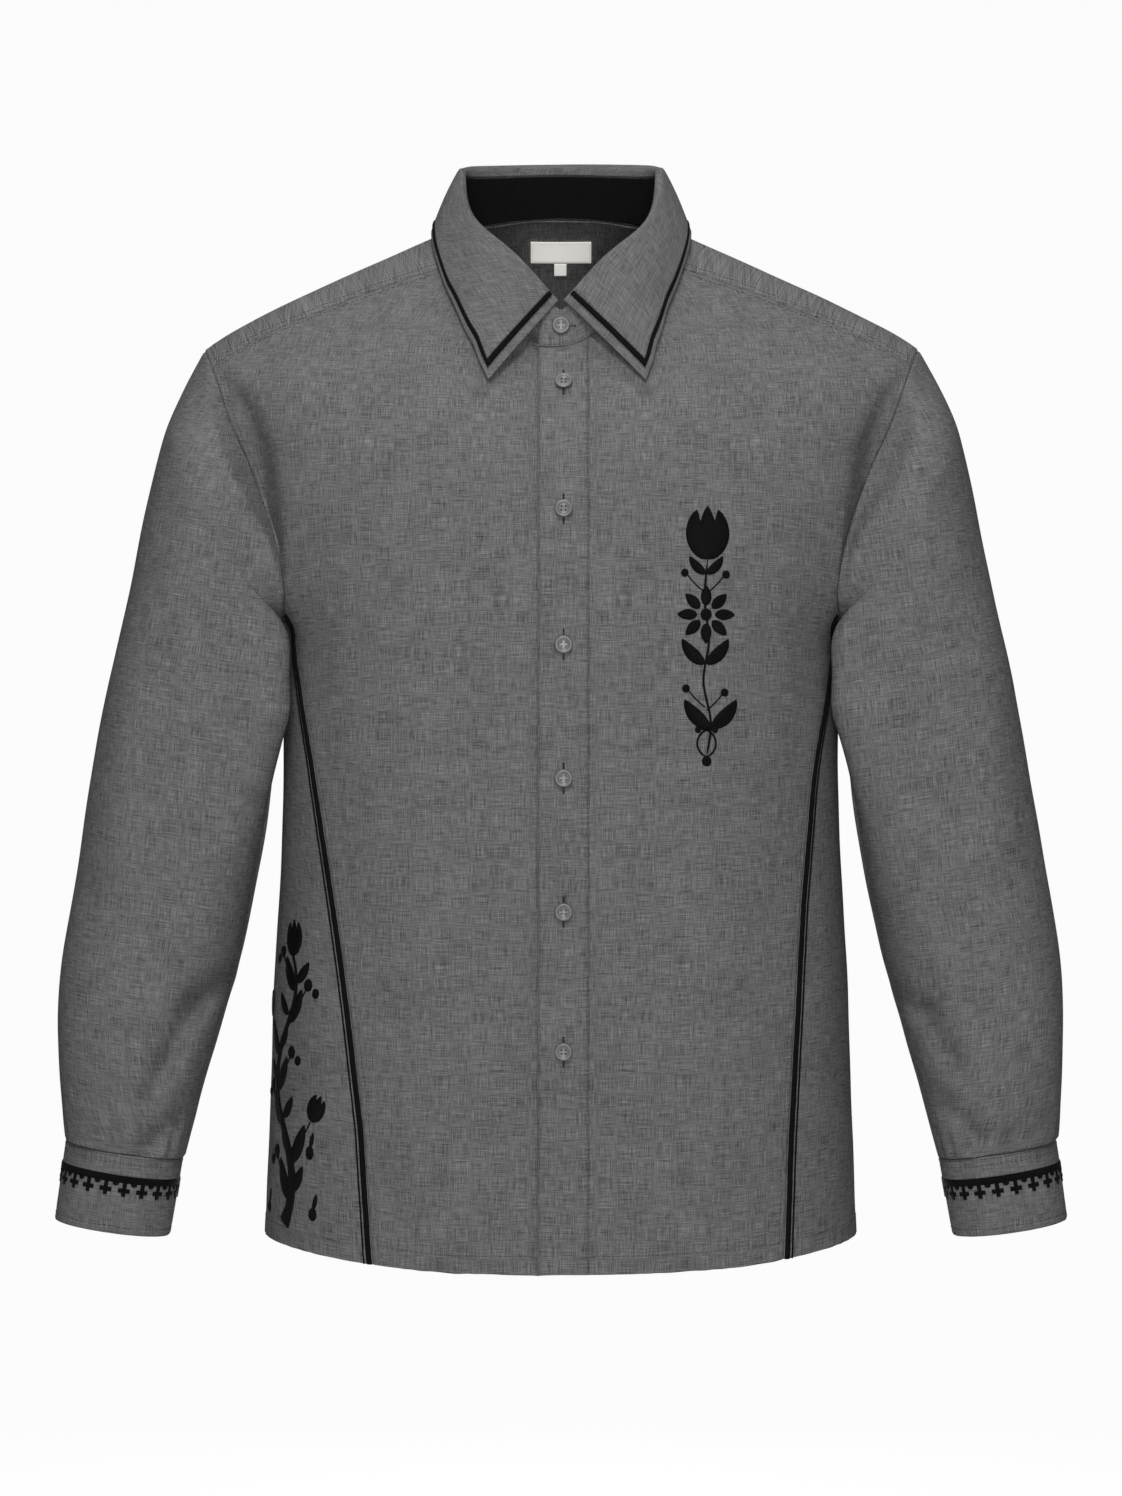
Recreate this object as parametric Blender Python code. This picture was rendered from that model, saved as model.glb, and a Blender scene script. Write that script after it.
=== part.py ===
# A linen shirt filled out with no wearer inside it.
# Units are metres. +Z is up, the wearer faces -Y and +X is the wearer's left.
# The origin is midway between the two side points of the neck.

import math

import bmesh
import bpy
import numpy as np

for old in list(bpy.data.objects):
    bpy.data.objects.remove(old, do_unlink=True)

CLOTH = 0.00125
SEAM_GAP = 0.0003
NECK_GAP = 0.0006
LIFT = 0.00035
STAND_WALL = 0.0012
FACING_WALL = 0.0009
LEAF_WALL = 0.0016
CUFF_WALL = 0.0020
TRIM_WALL = 0.0009
FRONT_OVERLAP = 0.0018
NECK_OVERLAP = 0.0015
PLACKET_EDGE = -0.0162
PLACKET_FIRST = -0.0072
PLACKET_MIDDLE = 0.0018
PLACKET_LAST = 0.0108
PLACKET_STITCH = 0.0197
UNDER_EDGE = 0.0180
BUTTON_RADIUS = 0.00625
NECK_LEVEL = 17.0

# Rings of the body from hem to neck
# half width, front depth, back depth, z at side, z at front, z at back, power
BODY = (
    (0.2115, 0.1310, 0.128, -0.7205, -0.7370, -0.7340, 2.50),
    (0.2093, 0.1310, 0.127, -0.6400, -0.6400, -0.6400, 2.50),
    (0.2060, 0.1320, 0.125, -0.5550, -0.5550, -0.5550, 2.50),
    (0.2020, 0.1340, 0.124, -0.4830, -0.4830, -0.4830, 2.50),
    (0.1992, 0.1370, 0.126, -0.4000, -0.4000, -0.4000, 2.50),
    (0.1985, 0.1390, 0.128, -0.3450, -0.3450, -0.3450, 2.50),
    (0.1985, 0.1400, 0.130, -0.3000, -0.3000, -0.3000, 2.45),
    (0.2160, 0.1395, 0.132, -0.2720, -0.2720, -0.2700, 2.30),
    (0.2400, 0.1385, 0.134, -0.2430, -0.2450, -0.2380, 2.15),
    (0.2620, 0.1360, 0.135, -0.2100, -0.2170, -0.2000, 2.05),
    (0.2790, 0.1320, 0.134, -0.1720, -0.1900, -0.1580, 2.00),
    (0.2860, 0.1260, 0.130, -0.1360, -0.1660, -0.1180, 2.00),
    (0.2740, 0.1180, 0.122, -0.1040, -0.1450, -0.0800, 2.00),
    (0.2450, 0.1085, 0.110, -0.0800, -0.1280, -0.0480, 2.00),
    (0.2000, 0.1000, 0.094, -0.0565, -0.1145, -0.0240, 2.00),
    (0.1450, 0.0920, 0.074, -0.0310, -0.1035, -0.0040, 2.00),
    (0.1000, 0.0865, 0.058, -0.0112, -0.0970, 0.0075, 2.00),
    (0.0710, 0.0830, 0.047, 0.0015, -0.0930, 0.0126, 2.00),
)

# Top ring of the collar stand, in the same columns
STAND_TOP = (0.0708, 0.0775, 0.044, 0.0368, -0.0675, 0.0425, 2.00)
STAND_WAVE = 0.0130
STAND_FULL = 0.085
NECK_DIP = 0.0055

# Armhole, as an oval in the body's angle and ring number
ARM_LEVEL = 9.475
ARM_REACH = 3.175
ARM_FRONT = 38.5
ARM_BACK = 31.0
ARM_POWER = 0.85

# Angles round the armhole, from the shoulder point down to the underarm
ARM_STEPS = (0, 16, 31, 48, 62, 76, 90, 104, 118, 131, 144, 156, 168, 180)
ARM_YOKE_FRONT = 31
ARM_YOKE_BACK = 48
ARM_SIDE = 144

# Rings of the wearer's left sleeve from armhole to cuff seam
# outer x, outer z, inner x, inner z, y of middle, front depth, back depth, fullness
SLEEVE = (
    (0.2560, -0.0866, 0.2035, -0.2920, -0.006, 0.0770, 0.0750, 0.0),
    (0.2692, -0.1116, 0.2065, -0.2915, -0.008, 0.0790, 0.0770, 0.1),
    (0.2799, -0.1374, 0.2078, -0.2945, -0.010, 0.0800, 0.0780, 0.4),
    (0.2866, -0.1599, 0.2080, -0.2985, -0.011, 0.0805, 0.0790, 0.8),
    (0.2953, -0.1981, 0.2075, -0.3070, -0.012, 0.0810, 0.0790, 1.0),
    (0.3074, -0.2553, 0.2063, -0.3250, -0.014, 0.0810, 0.0780, 1.0),
    (0.3196, -0.3104, 0.2048, -0.3500, -0.017, 0.0800, 0.0770, 1.0),
    (0.3254, -0.3399, 0.2046, -0.3710, -0.019, 0.0785, 0.0750, 0.75),
    (0.3373, -0.4107, 0.2106, -0.4323, -0.024, 0.0740, 0.0710, 0.25),
    (0.3480, -0.4816, 0.2262, -0.5090, -0.030, 0.0695, 0.0670, 0.0),
    (0.3540, -0.5217, 0.2369, -0.5496, -0.034, 0.0665, 0.0650, 0.0),
    (0.3560, -0.5575, 0.2453, -0.5820, -0.038, 0.0640, 0.0630, 0.0),
    (0.3556, -0.5862, 0.2520, -0.6063, -0.042, 0.0610, 0.0600, 0.0),
    (0.3535, -0.6183, 0.2602, -0.6364, -0.046, 0.0545, 0.0540, 0.0),
    (0.3499, -0.6503, 0.2672, -0.6634, -0.050, 0.0450, 0.0450, 0.0),
)

# Upper and lower ring of the cuff
# outer x, outer z, inner x, inner z, y of middle, depth
CUFF = (
    (0.3500, -0.6507, 0.2673, -0.6638, -0.050, 0.0448),
    (0.3579, -0.7055, 0.2770, -0.7179, -0.053, 0.0430),
)

# Slanting front seams and plain back seams of the side panels
# ring number, wearer's right x, wearer's left x, back seam x
SIDE_SEAMS = (
    (0, 0.1307, 0.1549, 0.178),
    (1, 0.1369, 0.1587, 0.178),
    (2, 0.1474, 0.1635, 0.178),
    (3, 0.1576, 0.1673, 0.178),
    (4, 0.1707, 0.1758, 0.181),
    (5, 0.1804, 0.1850, 0.185),
    (6, 0.1885, 0.1925, 0.190),
)

# Main creases: place, face, first end, second end, depth, half width
# A trough is negative and a ridge is positive; ends are (x, z), or (y, z) on a side
CREASES = (
    ("body", "front", (-0.221, -0.115), (-0.194, -0.230), -0.0035, 0.014),
    ("body", "front", (0.219, -0.128), (0.199, -0.230), -0.0040, 0.015),
    ("body", "front", (-0.120, -0.330), (-0.085, -0.745), 0.0022, 0.032),
    ("body", "front", (0.100, -0.360), (0.115, -0.745), 0.0024, 0.034),
    ("body", "front", (-0.045, -0.420), (-0.035, -0.745), -0.0016, 0.030),
    ("body", "back", (-0.200, -0.130), (-0.150, -0.300), -0.0030, 0.018),
    ("body", "back", (0.200, -0.130), (0.150, -0.300), -0.0030, 0.018),
    ("body", "back", (-0.090, -0.330), (-0.110, -0.745), 0.0026, 0.036),
    ("body", "back", (0.085, -0.300), (0.105, -0.745), 0.0024, 0.034),
    ("body", "back", (0.010, -0.260), (-0.010, -0.745), -0.0020, 0.040),
    ("sleeve", "front", (-0.262, -0.150), (-0.226, -0.255), 0.0030, 0.016),
    ("sleeve", "front", (0.264, -0.150), (0.226, -0.260), 0.0035, 0.016),
    ("sleeve", "front", (-0.335, -0.470), (-0.275, -0.520), -0.0026, 0.016),
    ("sleeve", "front", (0.330, -0.455), (0.270, -0.500), -0.0026, 0.016),
    ("sleeve", "back", (-0.300, -0.200), (-0.240, -0.320), -0.0030, 0.020),
    ("sleeve", "back", (0.300, -0.200), (0.240, -0.320), -0.0030, 0.020),
    ("sleeve", "back", (-0.340, -0.430), (-0.270, -0.480), -0.0028, 0.018),
    ("sleeve", "back", (0.340, -0.430), (0.270, -0.480), -0.0028, 0.018),
)

# Collar leaf, on the wearer's left half and mirrored for the right
# angle on the stand, rise over the stand, body angle under the edge, body ring under the edge
LEAF = (
    (3.9, 0.0023, 13.6, 13.33),
    (13.5, 0.0032, 17.45, 14.02),
    (24.0, 0.0042, 24.4, 14.78),
    (43.6, 0.0048, 37.0, 15.48),
    (61.0, 0.0056, 49.4, 15.80),
    (77.0, 0.0050, 65.0, 16.04),
    (90.0, 0.0050, 88.0, 16.24),
    (115.0, 0.0080, 115.0, 16.18),
    (147.0, 0.0086, 146.0, 16.05),
    (180.0, 0.0083, 180.0, 15.98),
)
LEAF_EDGE_LIFT = 0.0052
LEAF_BULGE = 0.0012
LEAF_LEAN = 0.0042
LEAF_GAP = 0.0015


def smooth(value):
    value = np.clip(value, 0.0, 1.0)
    return value * value * (3.0 - 2.0 * value)


def signed_power(value, exponent):
    return np.sign(value) * np.abs(value) ** exponent


def unit(vectors):
    return vectors / np.maximum(np.linalg.norm(vectors, axis=-1, keepdims=True), 1e-12)


def along(table, place):
    """A table's row at a fractional row number, on a smooth curve through its rows."""
    rows = np.asarray(table, float)
    last = len(rows) - 1
    place = np.clip(np.asarray(place, float), 0.0, last)
    start = np.minimum(place.astype(int), last - 1)
    part = (place - start)[..., None]
    before = rows[np.maximum(start - 1, 0)]
    here = rows[start]
    there = rows[start + 1]
    after = rows[np.minimum(start + 2, last)]
    cubic = 3.0 * (here - there) + after - before
    square = 2.0 * before - 5.0 * here + 4.0 * there - after
    return here + 0.5 * part * (there - before + part * (square + part * cubic))


def ring_point(ring, angle):
    """Point of a body ring; the angle is 0 at centre front and 90 at the wearer's left."""
    sine = np.sin(angle)
    cosine = np.cos(angle)
    bend = 2.0 / ring[..., 6]
    x = ring[..., 0] * signed_power(sine, bend)
    depth = np.where(cosine > 0, ring[..., 1], ring[..., 2])
    y = -depth * signed_power(cosine, bend)
    middle = np.where(cosine > 0, ring[..., 4], ring[..., 5])
    z = ring[..., 3] + (middle - ring[..., 3]) * cosine ** 2
    return np.stack([x, y, z], axis=-1)


def body_form(angle, level):
    return ring_point(along(BODY, level), np.asarray(angle, float))


def normal_of(form, first, second, step_first, step_second):
    one = form(first + step_first, second) - form(first - step_first, second)
    two = form(first, second + step_second) - form(first, second - step_second)
    return unit(np.cross(one, two))


def creases(cloth, point, normal):
    """How far the cloth stands off its plain form."""
    total = np.zeros(point.shape[:-1])
    for place, face, first, second, depth, width in CREASES:
        if place != cloth:
            continue
        facing = -normal[..., 1] if face == "front" else normal[..., 1]
        flat = np.stack([point[..., 0], point[..., 2]], axis=-1)
        start = np.asarray(first)
        run = np.asarray(second) - start
        length = float(np.linalg.norm(run))
        run = run / length
        step = (flat - start) @ run
        across = (flat - start) @ np.array([-run[1], run[0]])
        over = np.maximum(0.0, np.maximum(-step, step - length))
        fade = np.exp(-(across / width) ** 2) * np.exp(-(over / (2.0 * width)) ** 2)
        taper = 0.45 + 0.55 * np.sin(np.pi * np.clip(step / length, 0.0, 1.0))
        total = total + depth * fade * taper * smooth(facing * 1.8 - 0.15)
    return total


def body(angle, level):
    """Outer face of the body, creases and all."""
    angle = np.asarray(angle, float)
    level = np.asarray(level, float)
    point = body_form(angle, level)
    normal = normal_of(body_form, angle, level, 0.004, 0.02)
    return point + normal * creases("body", point, normal)[..., None]


def body_normal(angle, level):
    return normal_of(body, np.asarray(angle, float), np.asarray(level, float), 0.006, 0.03)


def angle_at(x, level, back=False):
    """Angle where a body ring has the given x."""
    ring = along(BODY, level)
    sine = signed_power(np.asarray(x) / ring[..., 0], ring[..., 6] / 2.0)
    angle = np.arcsin(np.clip(sine, -1.0, 1.0))
    if back:
        return np.pi - angle
    return angle


def level_at(x, z, back=False):
    """Ring number where the front or back face has the given x and z."""
    low = 0.0
    high = NECK_LEVEL
    for _ in range(40):
        middle = 0.5 * (low + high)
        if body_form(angle_at(x, middle, back), middle)[2] < z:
            low = middle
        else:
            high = middle
    return 0.5 * (low + high)


def arm_place(step):
    """Body angle and ring number at an angle round the armhole; positive is the front."""
    step = np.radians(np.asarray(step, float))
    level = ARM_LEVEL + ARM_REACH * signed_power(np.cos(step), ARM_POWER)
    spread = np.where(np.sin(step) > 0, -ARM_FRONT, ARM_BACK)
    angle = np.radians(90.0 + spread * np.abs(np.sin(step)) ** ARM_POWER)
    return angle, level


def torso_side(y, z):
    """Half width of the body at a given depth and height below the armhole."""
    heights = [row[3] for row in BODY[:8]]
    level = np.interp(z, heights, range(8))
    ring = along(BODY, level)
    depth = np.where(y < 0, ring[..., 1], ring[..., 2])
    reach = np.clip(1.0 - np.abs(y / depth) ** ring[..., 6], 0.0, 1.0)
    return ring[..., 0] * reach ** (1.0 / ring[..., 6])


def sleeve_tube(step, row):
    """The wearer's left sleeve before it is joined to the armhole."""
    ring = along(SLEEVE, row)
    step = np.radians(np.asarray(step, float))
    cosine = np.cos(step)
    sine = np.sin(step)
    full = ring[..., 7] * np.where((sine > 0) & (cosine < 0), 1.0, 0.0)
    bend = ARM_POWER - 0.20 * full
    out = signed_power(cosine, bend)
    forward = signed_power(sine, bend)
    x = 0.5 * (ring[..., 0] + ring[..., 2]) + 0.5 * (ring[..., 0] - ring[..., 2]) * out
    z = 0.5 * (ring[..., 1] + ring[..., 3]) + 0.5 * (ring[..., 1] - ring[..., 3]) * out
    x = x - 0.024 * full * np.sin(2.0 * step) ** 2
    depth = np.where(sine > 0, ring[..., 5], ring[..., 6])
    y = ring[..., 4] - depth * forward
    return np.stack([x, y, z], axis=-1)


def sleeve_form(side, step, row):
    """Plain form of a sleeve; side is +1 for the wearer's left and -1 for the right."""
    step = np.asarray(step, float)
    row = np.asarray(row, float)
    flip = np.array([side, 1.0, 1.0])
    angle, level = arm_place(step)
    seam = body(side * angle, level) * flip
    tube = sleeve_tube(step, row)
    start = sleeve_tube(step, np.zeros_like(row))
    point = tube + (seam - start) * (1.0 - smooth(row / 2.5))[..., None]
    room = torso_side(point[..., 1], point[..., 2]) + 0.0045
    under = smooth((row - 0.6) / 1.0)
    far = np.maximum(point[..., 0], room)
    pushed = 0.5 * (point[..., 0] + room + np.sqrt((point[..., 0] - room) ** 2 + 4e-6))
    inside = (np.cos(np.radians(step)) < 0.2) & (point[..., 2] < -0.28)
    x = np.where(inside, point[..., 0] + (np.maximum(far, pushed) - point[..., 0]) * under, point[..., 0])
    return np.stack([x, point[..., 1], point[..., 2]], axis=-1) * flip


def sleeve(side, step, row):
    """Outer face of a sleeve, creases and all."""
    step = np.asarray(step, float)
    row = np.asarray(row, float)

    def form(first, second):
        return sleeve_form(side, first, np.maximum(second, 0.0))

    point = form(step, row)
    normal = normal_of(form, step, row + 0.03, 1.5, 0.03) * side
    height = creases("sleeve", point, normal) * smooth(row / 1.2)
    return point + normal * height[..., None]


def sleeve_normal(side, step, row):
    def form(first, second):
        return sleeve(side, first, np.maximum(second, 0.0))

    step = np.asarray(step, float)
    row = np.asarray(row, float)
    return normal_of(form, step, row + 0.05, 2.0, 0.05) * side


def arm_normal(side, step):
    """Shared direction of the two walls that meet at the armhole."""
    angle, level = arm_place(step)
    one = body_normal(side * angle, level)
    two = sleeve_normal(side, step, np.full(np.shape(step), 0.15))
    return unit(one + two)


def stand_point(path, height, depth):
    """Point of the collar stand; the path angle runs once round from the left front end."""
    path = np.asarray(path, float)
    height = np.asarray(height, float)
    foot = along(BODY, np.full(np.shape(path), NECK_LEVEL))
    ring = foot + (np.asarray(STAND_TOP) - foot) * height[..., None]
    angle = np.radians(path)
    point = ring_point(ring, angle)
    wave = np.where(np.cos(angle) > 0, np.abs(np.sin(angle)) * np.cos(angle) * np.cos(2.0 * angle), 0.0)
    point[..., 2] += 4.0 * STAND_WAVE * wave * height
    full = np.where(np.cos(angle) > 0, np.sin(2.0 * angle) ** 2, 0.0) * STAND_FULL * height
    point[..., :2] *= (1.0 + full)[..., None]
    neck = body_form(angle, np.full(angle.shape, NECK_LEVEL))
    below = body_form(angle, np.full(angle.shape, NECK_LEVEL - 0.1))
    dip = NECK_DIP * smooth(-path / 14.0) * (1.0 - 0.8 * height)
    point = point + unit(neck - below) * (NECK_GAP - dip)[..., None]
    along_y = np.where(np.cos(angle) > 0, ring[..., 1], ring[..., 2])
    out = np.stack([point[..., 0] / ring[..., 0] ** 2, point[..., 1] / along_y ** 2], axis=-1)
    out = unit(out)
    wind = (STAND_WALL + FACING_WALL + 3.5 * SEAM_GAP) * smooth((path - 300.0) / 42.0)
    inward = depth + wind
    point[..., 0] -= out[..., 0] * inward
    point[..., 1] -= out[..., 1] * inward
    return point


def leaf_point(path, row):
    """Upper face of the collar leaf; rows run from the stand (0) over the roll to the edge (6)."""
    path = np.asarray(path, float)
    row = np.asarray(row, float)
    folded = np.where(path > 180.0, 360.0 - path, path)
    side = np.where(path > 180.0, -1.0, 1.0)
    marks = [line[0] for line in LEAF]
    place = np.interp(folded, marks, range(len(marks)))
    line = along(LEAF, place)
    rise = line[..., 1]
    foot = stand_point(path, np.ones(np.shape(path)), 0.0)
    inner = stand_point(path, np.ones(np.shape(path)), 0.0019)
    out = unit(foot - inner)
    rim = unit(stand_point(path + 1.0, np.ones(path.shape), 0.0) - stand_point(path - 1.0, np.ones(path.shape), 0.0))
    up = np.array([0.0, 0.0, 1.0])
    up = unit(up - rim * np.sum(up * rim, axis=-1, keepdims=True))
    angle = np.radians(line[..., 2])
    edge = body_form(angle, line[..., 3])
    edge = edge + normal_of(body_form, angle, line[..., 3], 0.004, 0.02) * LEAF_EDGE_LIFT
    edge = edge * np.stack([side, np.ones_like(side), np.ones_like(side)], axis=-1)
    edge[..., 0] += LEAF_LEAN * (1.0 - smooth(folded / 60.0))
    base = foot + up * LEAF_GAP
    high = rise[..., None] * up
    knots = [
        base - out * 0.0019,
        base - out * 0.0020 + high * 0.62,
        base + out * 0.0011 + high,
        base + out * 0.0044 + high * 0.50,
    ]
    fall = edge - knots[3]
    lean = unit(np.cross(np.cross(fall, out), fall))
    lean = lean * np.sign(np.sum(lean * out, axis=-1, keepdims=True))
    knots.append(knots[3] + fall * 0.36 + lean * LEAF_BULGE)
    knots.append(knots[3] + fall * 0.70 + lean * LEAF_BULGE * 0.8)
    knots.append(edge)
    stack = np.stack(knots, axis=0)
    last = len(knots) - 1
    row = np.clip(row, 0.0, last)
    start = np.minimum(row.astype(int), last - 1)
    part = (row - start)[..., None]

    def pick(index):
        index = np.clip(index, 0, last)
        return np.take_along_axis(stack, index[None, ..., None], axis=0)[0]

    before = pick(start - 1)
    here = pick(start)
    there = pick(start + 1)
    after = pick(start + 2)
    cubic = 3.0 * (here - there) + after - before
    square = 2.0 * before - 5.0 * here + 4.0 * there - after
    return here + 0.5 * part * (there - before + part * (square + part * cubic))


def leaf_normal(path, row):
    return -normal_of(leaf_point, np.asarray(path, float), np.clip(row, 0.02, 5.98), 0.8, 0.02)


def cuff_point(side, step, drop, depth):
    """Point of a cuff; the path winds once round and laps over itself at the back."""
    step = np.asarray(step, float)
    upper = np.asarray(CUFF[0])
    lower = np.asarray(CUFF[1])
    ring = upper + (lower - upper) * np.asarray(drop, float)[..., None]
    turn = np.radians(step)
    out = signed_power(np.cos(turn), 0.95)
    forward = signed_power(np.sin(turn), 0.95)
    x = 0.5 * (ring[..., 0] + ring[..., 2]) + 0.5 * (ring[..., 0] - ring[..., 2]) * out
    z = 0.5 * (ring[..., 1] + ring[..., 3]) + 0.5 * (ring[..., 1] - ring[..., 3]) * out
    y = ring[..., 4] - ring[..., 5] * forward
    point = np.stack([x, y, z], axis=-1)
    axis_x = np.stack([ring[..., 0] - ring[..., 2], np.zeros_like(x), ring[..., 1] - ring[..., 3]], axis=-1)
    axis_x = unit(axis_x)
    outward = unit(axis_x * np.cos(turn)[..., None] + np.array([0.0, -1.0, 0.0]) * np.sin(turn)[..., None])
    wind = (CUFF_WALL + 0.0005) * smooth((step - 200.0) / 60.0)
    point = point - outward * (depth + wind)[..., None]
    return point * np.array([side, 1.0, 1.0])


def cloth_material(name, colour, roughness):
    material = bpy.data.materials.new(name)
    material.use_nodes = True
    shader = material.node_tree.nodes["Principled BSDF"]
    shader.inputs["Base Color"].default_value = (*colour, 1.0)
    shader.inputs["Roughness"].default_value = roughness
    return material


def add_solid(name, vertices, faces, colour, roughness=0.9):
    mesh = bpy.data.meshes.new(name)
    mesh.from_pydata([tuple(map(float, vertex)) for vertex in vertices], [], faces)
    shape = bmesh.new()
    shape.from_mesh(mesh)
    bmesh.ops.recalc_face_normals(shape, faces=shape.faces)
    for face in shape.faces:
        face.smooth = True
    shape.to_mesh(mesh)
    shape.free()
    solid = bpy.data.objects.new(name, mesh)
    bpy.context.scene.collection.objects.link(solid)
    mesh.materials.append(cloth_material(name, colour, roughness))
    return solid


def draw_in(grid, edges, distance):
    """Moves the named edges of a grid a little way in along the cloth."""
    grid = grid.copy()
    if "first_row" in edges:
        grid[0] += unit(grid[1] - grid[0]) * distance
    if "last_row" in edges:
        grid[-1] += unit(grid[-2] - grid[-1]) * distance
    if "first_column" in edges:
        grid[:, 0] += unit(grid[:, 1] - grid[:, 0]) * distance
    if "last_column" in edges:
        grid[:, -1] += unit(grid[:, -2] - grid[:, -1]) * distance
    return grid


def shell(name, outer, inner, colour, closed=False, roughness=0.9):
    """A thin closed solid between two grids of points."""
    rows, columns = outer.shape[:2]
    count = rows * columns
    vertices = list(outer.reshape(-1, 3)) + list(inner.reshape(-1, 3))
    faces = []
    span = columns if closed else columns - 1
    for row in range(rows - 1):
        for column in range(span):
            beside = (column + 1) % columns
            one = row * columns + column
            two = row * columns + beside
            three = (row + 1) * columns + beside
            four = (row + 1) * columns + column
            faces.append((one, two, three, four))
            faces.append((one + count, four + count, three + count, two + count))
    for column in range(span):
        beside = (column + 1) % columns
        for row in (0, rows - 1):
            one = row * columns + column
            two = row * columns + beside
            faces.append((one, one + count, two + count, two))
    if not closed:
        for row in range(rows - 1):
            for column in (0, columns - 1):
                one = row * columns + column
                two = (row + 1) * columns + column
                faces.append((one, two, two + count, one + count))
    return add_solid(name, vertices, faces, colour, roughness)


def even_angles(first, second, level, count):
    """Angles that part a stretch of a body ring into even lengths."""
    fine = np.linspace(first, second, 161)
    points = body_form(fine, np.full(fine.shape, level))
    steps = np.linalg.norm(np.diff(points, axis=0), axis=1)
    length = np.concatenate([[0.0], np.cumsum(steps)])
    return np.interp(np.linspace(0.0, length[-1], count), length, fine)


GREY = (0.135, 0.139, 0.137)
BLACK = (0.006, 0.006, 0.007)
LABEL_CREAM = (0.80, 0.78, 0.74)
BUTTON_GREY = (0.16, 0.16, 0.165)

ARM_FRONT_ANGLE, ARM_LEVELS = arm_place(ARM_STEPS)
LEVEL_OF = dict(zip(ARM_STEPS, ARM_LEVELS))
SIDE_TOP = float(LEVEL_OF[ARM_SIDE])
LOW_LEVELS = [0.0, 0.5, 1.0, 1.5, 2.0, 2.5, 3.0, 3.5, 4.0, 4.5, 5.0, 5.5, 6.0, 6.4]
ARM_LEVEL_ROWS = [step for step in reversed(ARM_STEPS) if ARM_YOKE_FRONT <= step <= ARM_SIDE]
YOKE_PARTS = [0.0, 0.16, 0.33, 0.50, 0.67, 0.84, 1.0]
YOKE_NECK_ANGLE = 57.5


def side_seam(side, level):
    """Body angle of the front and back seam of a side panel."""
    marks = [row[0] for row in SIDE_SEAMS]
    column = 2 if side > 0 else 1
    front_x = np.interp(level, marks, [row[column] for row in SIDE_SEAMS])
    back_x = np.interp(level, marks, [row[3] for row in SIDE_SEAMS])
    front_angle = float(angle_at(front_x, level))
    back_angle = float(angle_at(back_x, level, back=True))
    top_front, _ = arm_place(ARM_SIDE)
    top_back, _ = arm_place(-ARM_SIDE)
    blend = float(smooth((level - 5.6) / (SIDE_TOP - 5.6)))
    front_angle += (float(top_front) - front_angle) * blend
    back_angle += (float(top_back) - back_angle) * blend
    return front_angle, back_angle


def panel_rows(side, back):
    """Ring number, outer angle and armhole step of each row of a front or back panel."""
    rows = []
    for level in LOW_LEVELS:
        rows.append((level, side_seam(side, level)[1 if back else 0], None))
    highest = ARM_YOKE_BACK if back else ARM_YOKE_FRONT
    for step in ARM_LEVEL_ROWS:
        if step < highest:
            continue
        angle, level = arm_place(-step if back else step)
        rows.append((float(level), float(angle), -step if back else step))
    if not back:
        angle, level = arm_place(ARM_YOKE_FRONT)
        for part in YOKE_PARTS[1:]:
            reach = level + (NECK_LEVEL - level) * part
            lean = angle + (math.radians(YOKE_NECK_ANGLE) - angle) * part
            rows.append((float(reach), float(lean), None))
    return rows


def panel_grids(angles, levels, arm_steps, side, sink=None):
    """Outer and inner points of a panel, sharing the armhole's wall direction."""
    outer = body(angles, levels)
    normals = body_normal(angles, levels)
    for row, column, step in arm_steps:
        here = 1 if angles[row, column] > 0 else -1
        if side == 0:
            here = 1 if angles[row, column] < math.pi else -1
        normals[row, column] = arm_normal(here, np.array([float(step)]))[0]
    if sink is not None:
        outer = outer - normals * sink(outer)[..., None]
    return outer, outer - normals * CLOTH


def front_panel(side):
    """Grid of one front panel, from its centre edge to its outer seams."""
    rows = panel_rows(side, back=False)
    if side > 0:
        knots = (PLACKET_EDGE, PLACKET_FIRST, PLACKET_MIDDLE, PLACKET_LAST, PLACKET_STITCH)
    else:
        knots = (UNDER_EDGE, PLACKET_LAST, PLACKET_MIDDLE, PLACKET_FIRST, PLACKET_EDGE)
    angles = []
    levels = []
    steps = []
    for number, (level, outer_angle, step) in enumerate(rows):
        fixed = [float(angle_at(x, level)) for x in knots]
        rest = even_angles(fixed[-1], side * outer_angle, level, 9)
        line = fixed[:-1] + list(rest)
        angles.append(line)
        levels.append([level] * len(line))
        if step is not None:
            steps.append((number, len(line) - 1, step))
    return np.array(angles), np.array(levels), steps


def under_sink(point):
    """The right front lies under the left one near the centre."""
    deep = FRONT_OVERLAP + NECK_OVERLAP * smooth((point[..., 2] + 0.115) / 0.02)
    return deep * smooth((point[..., 0] + 0.062) / 0.038)


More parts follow.
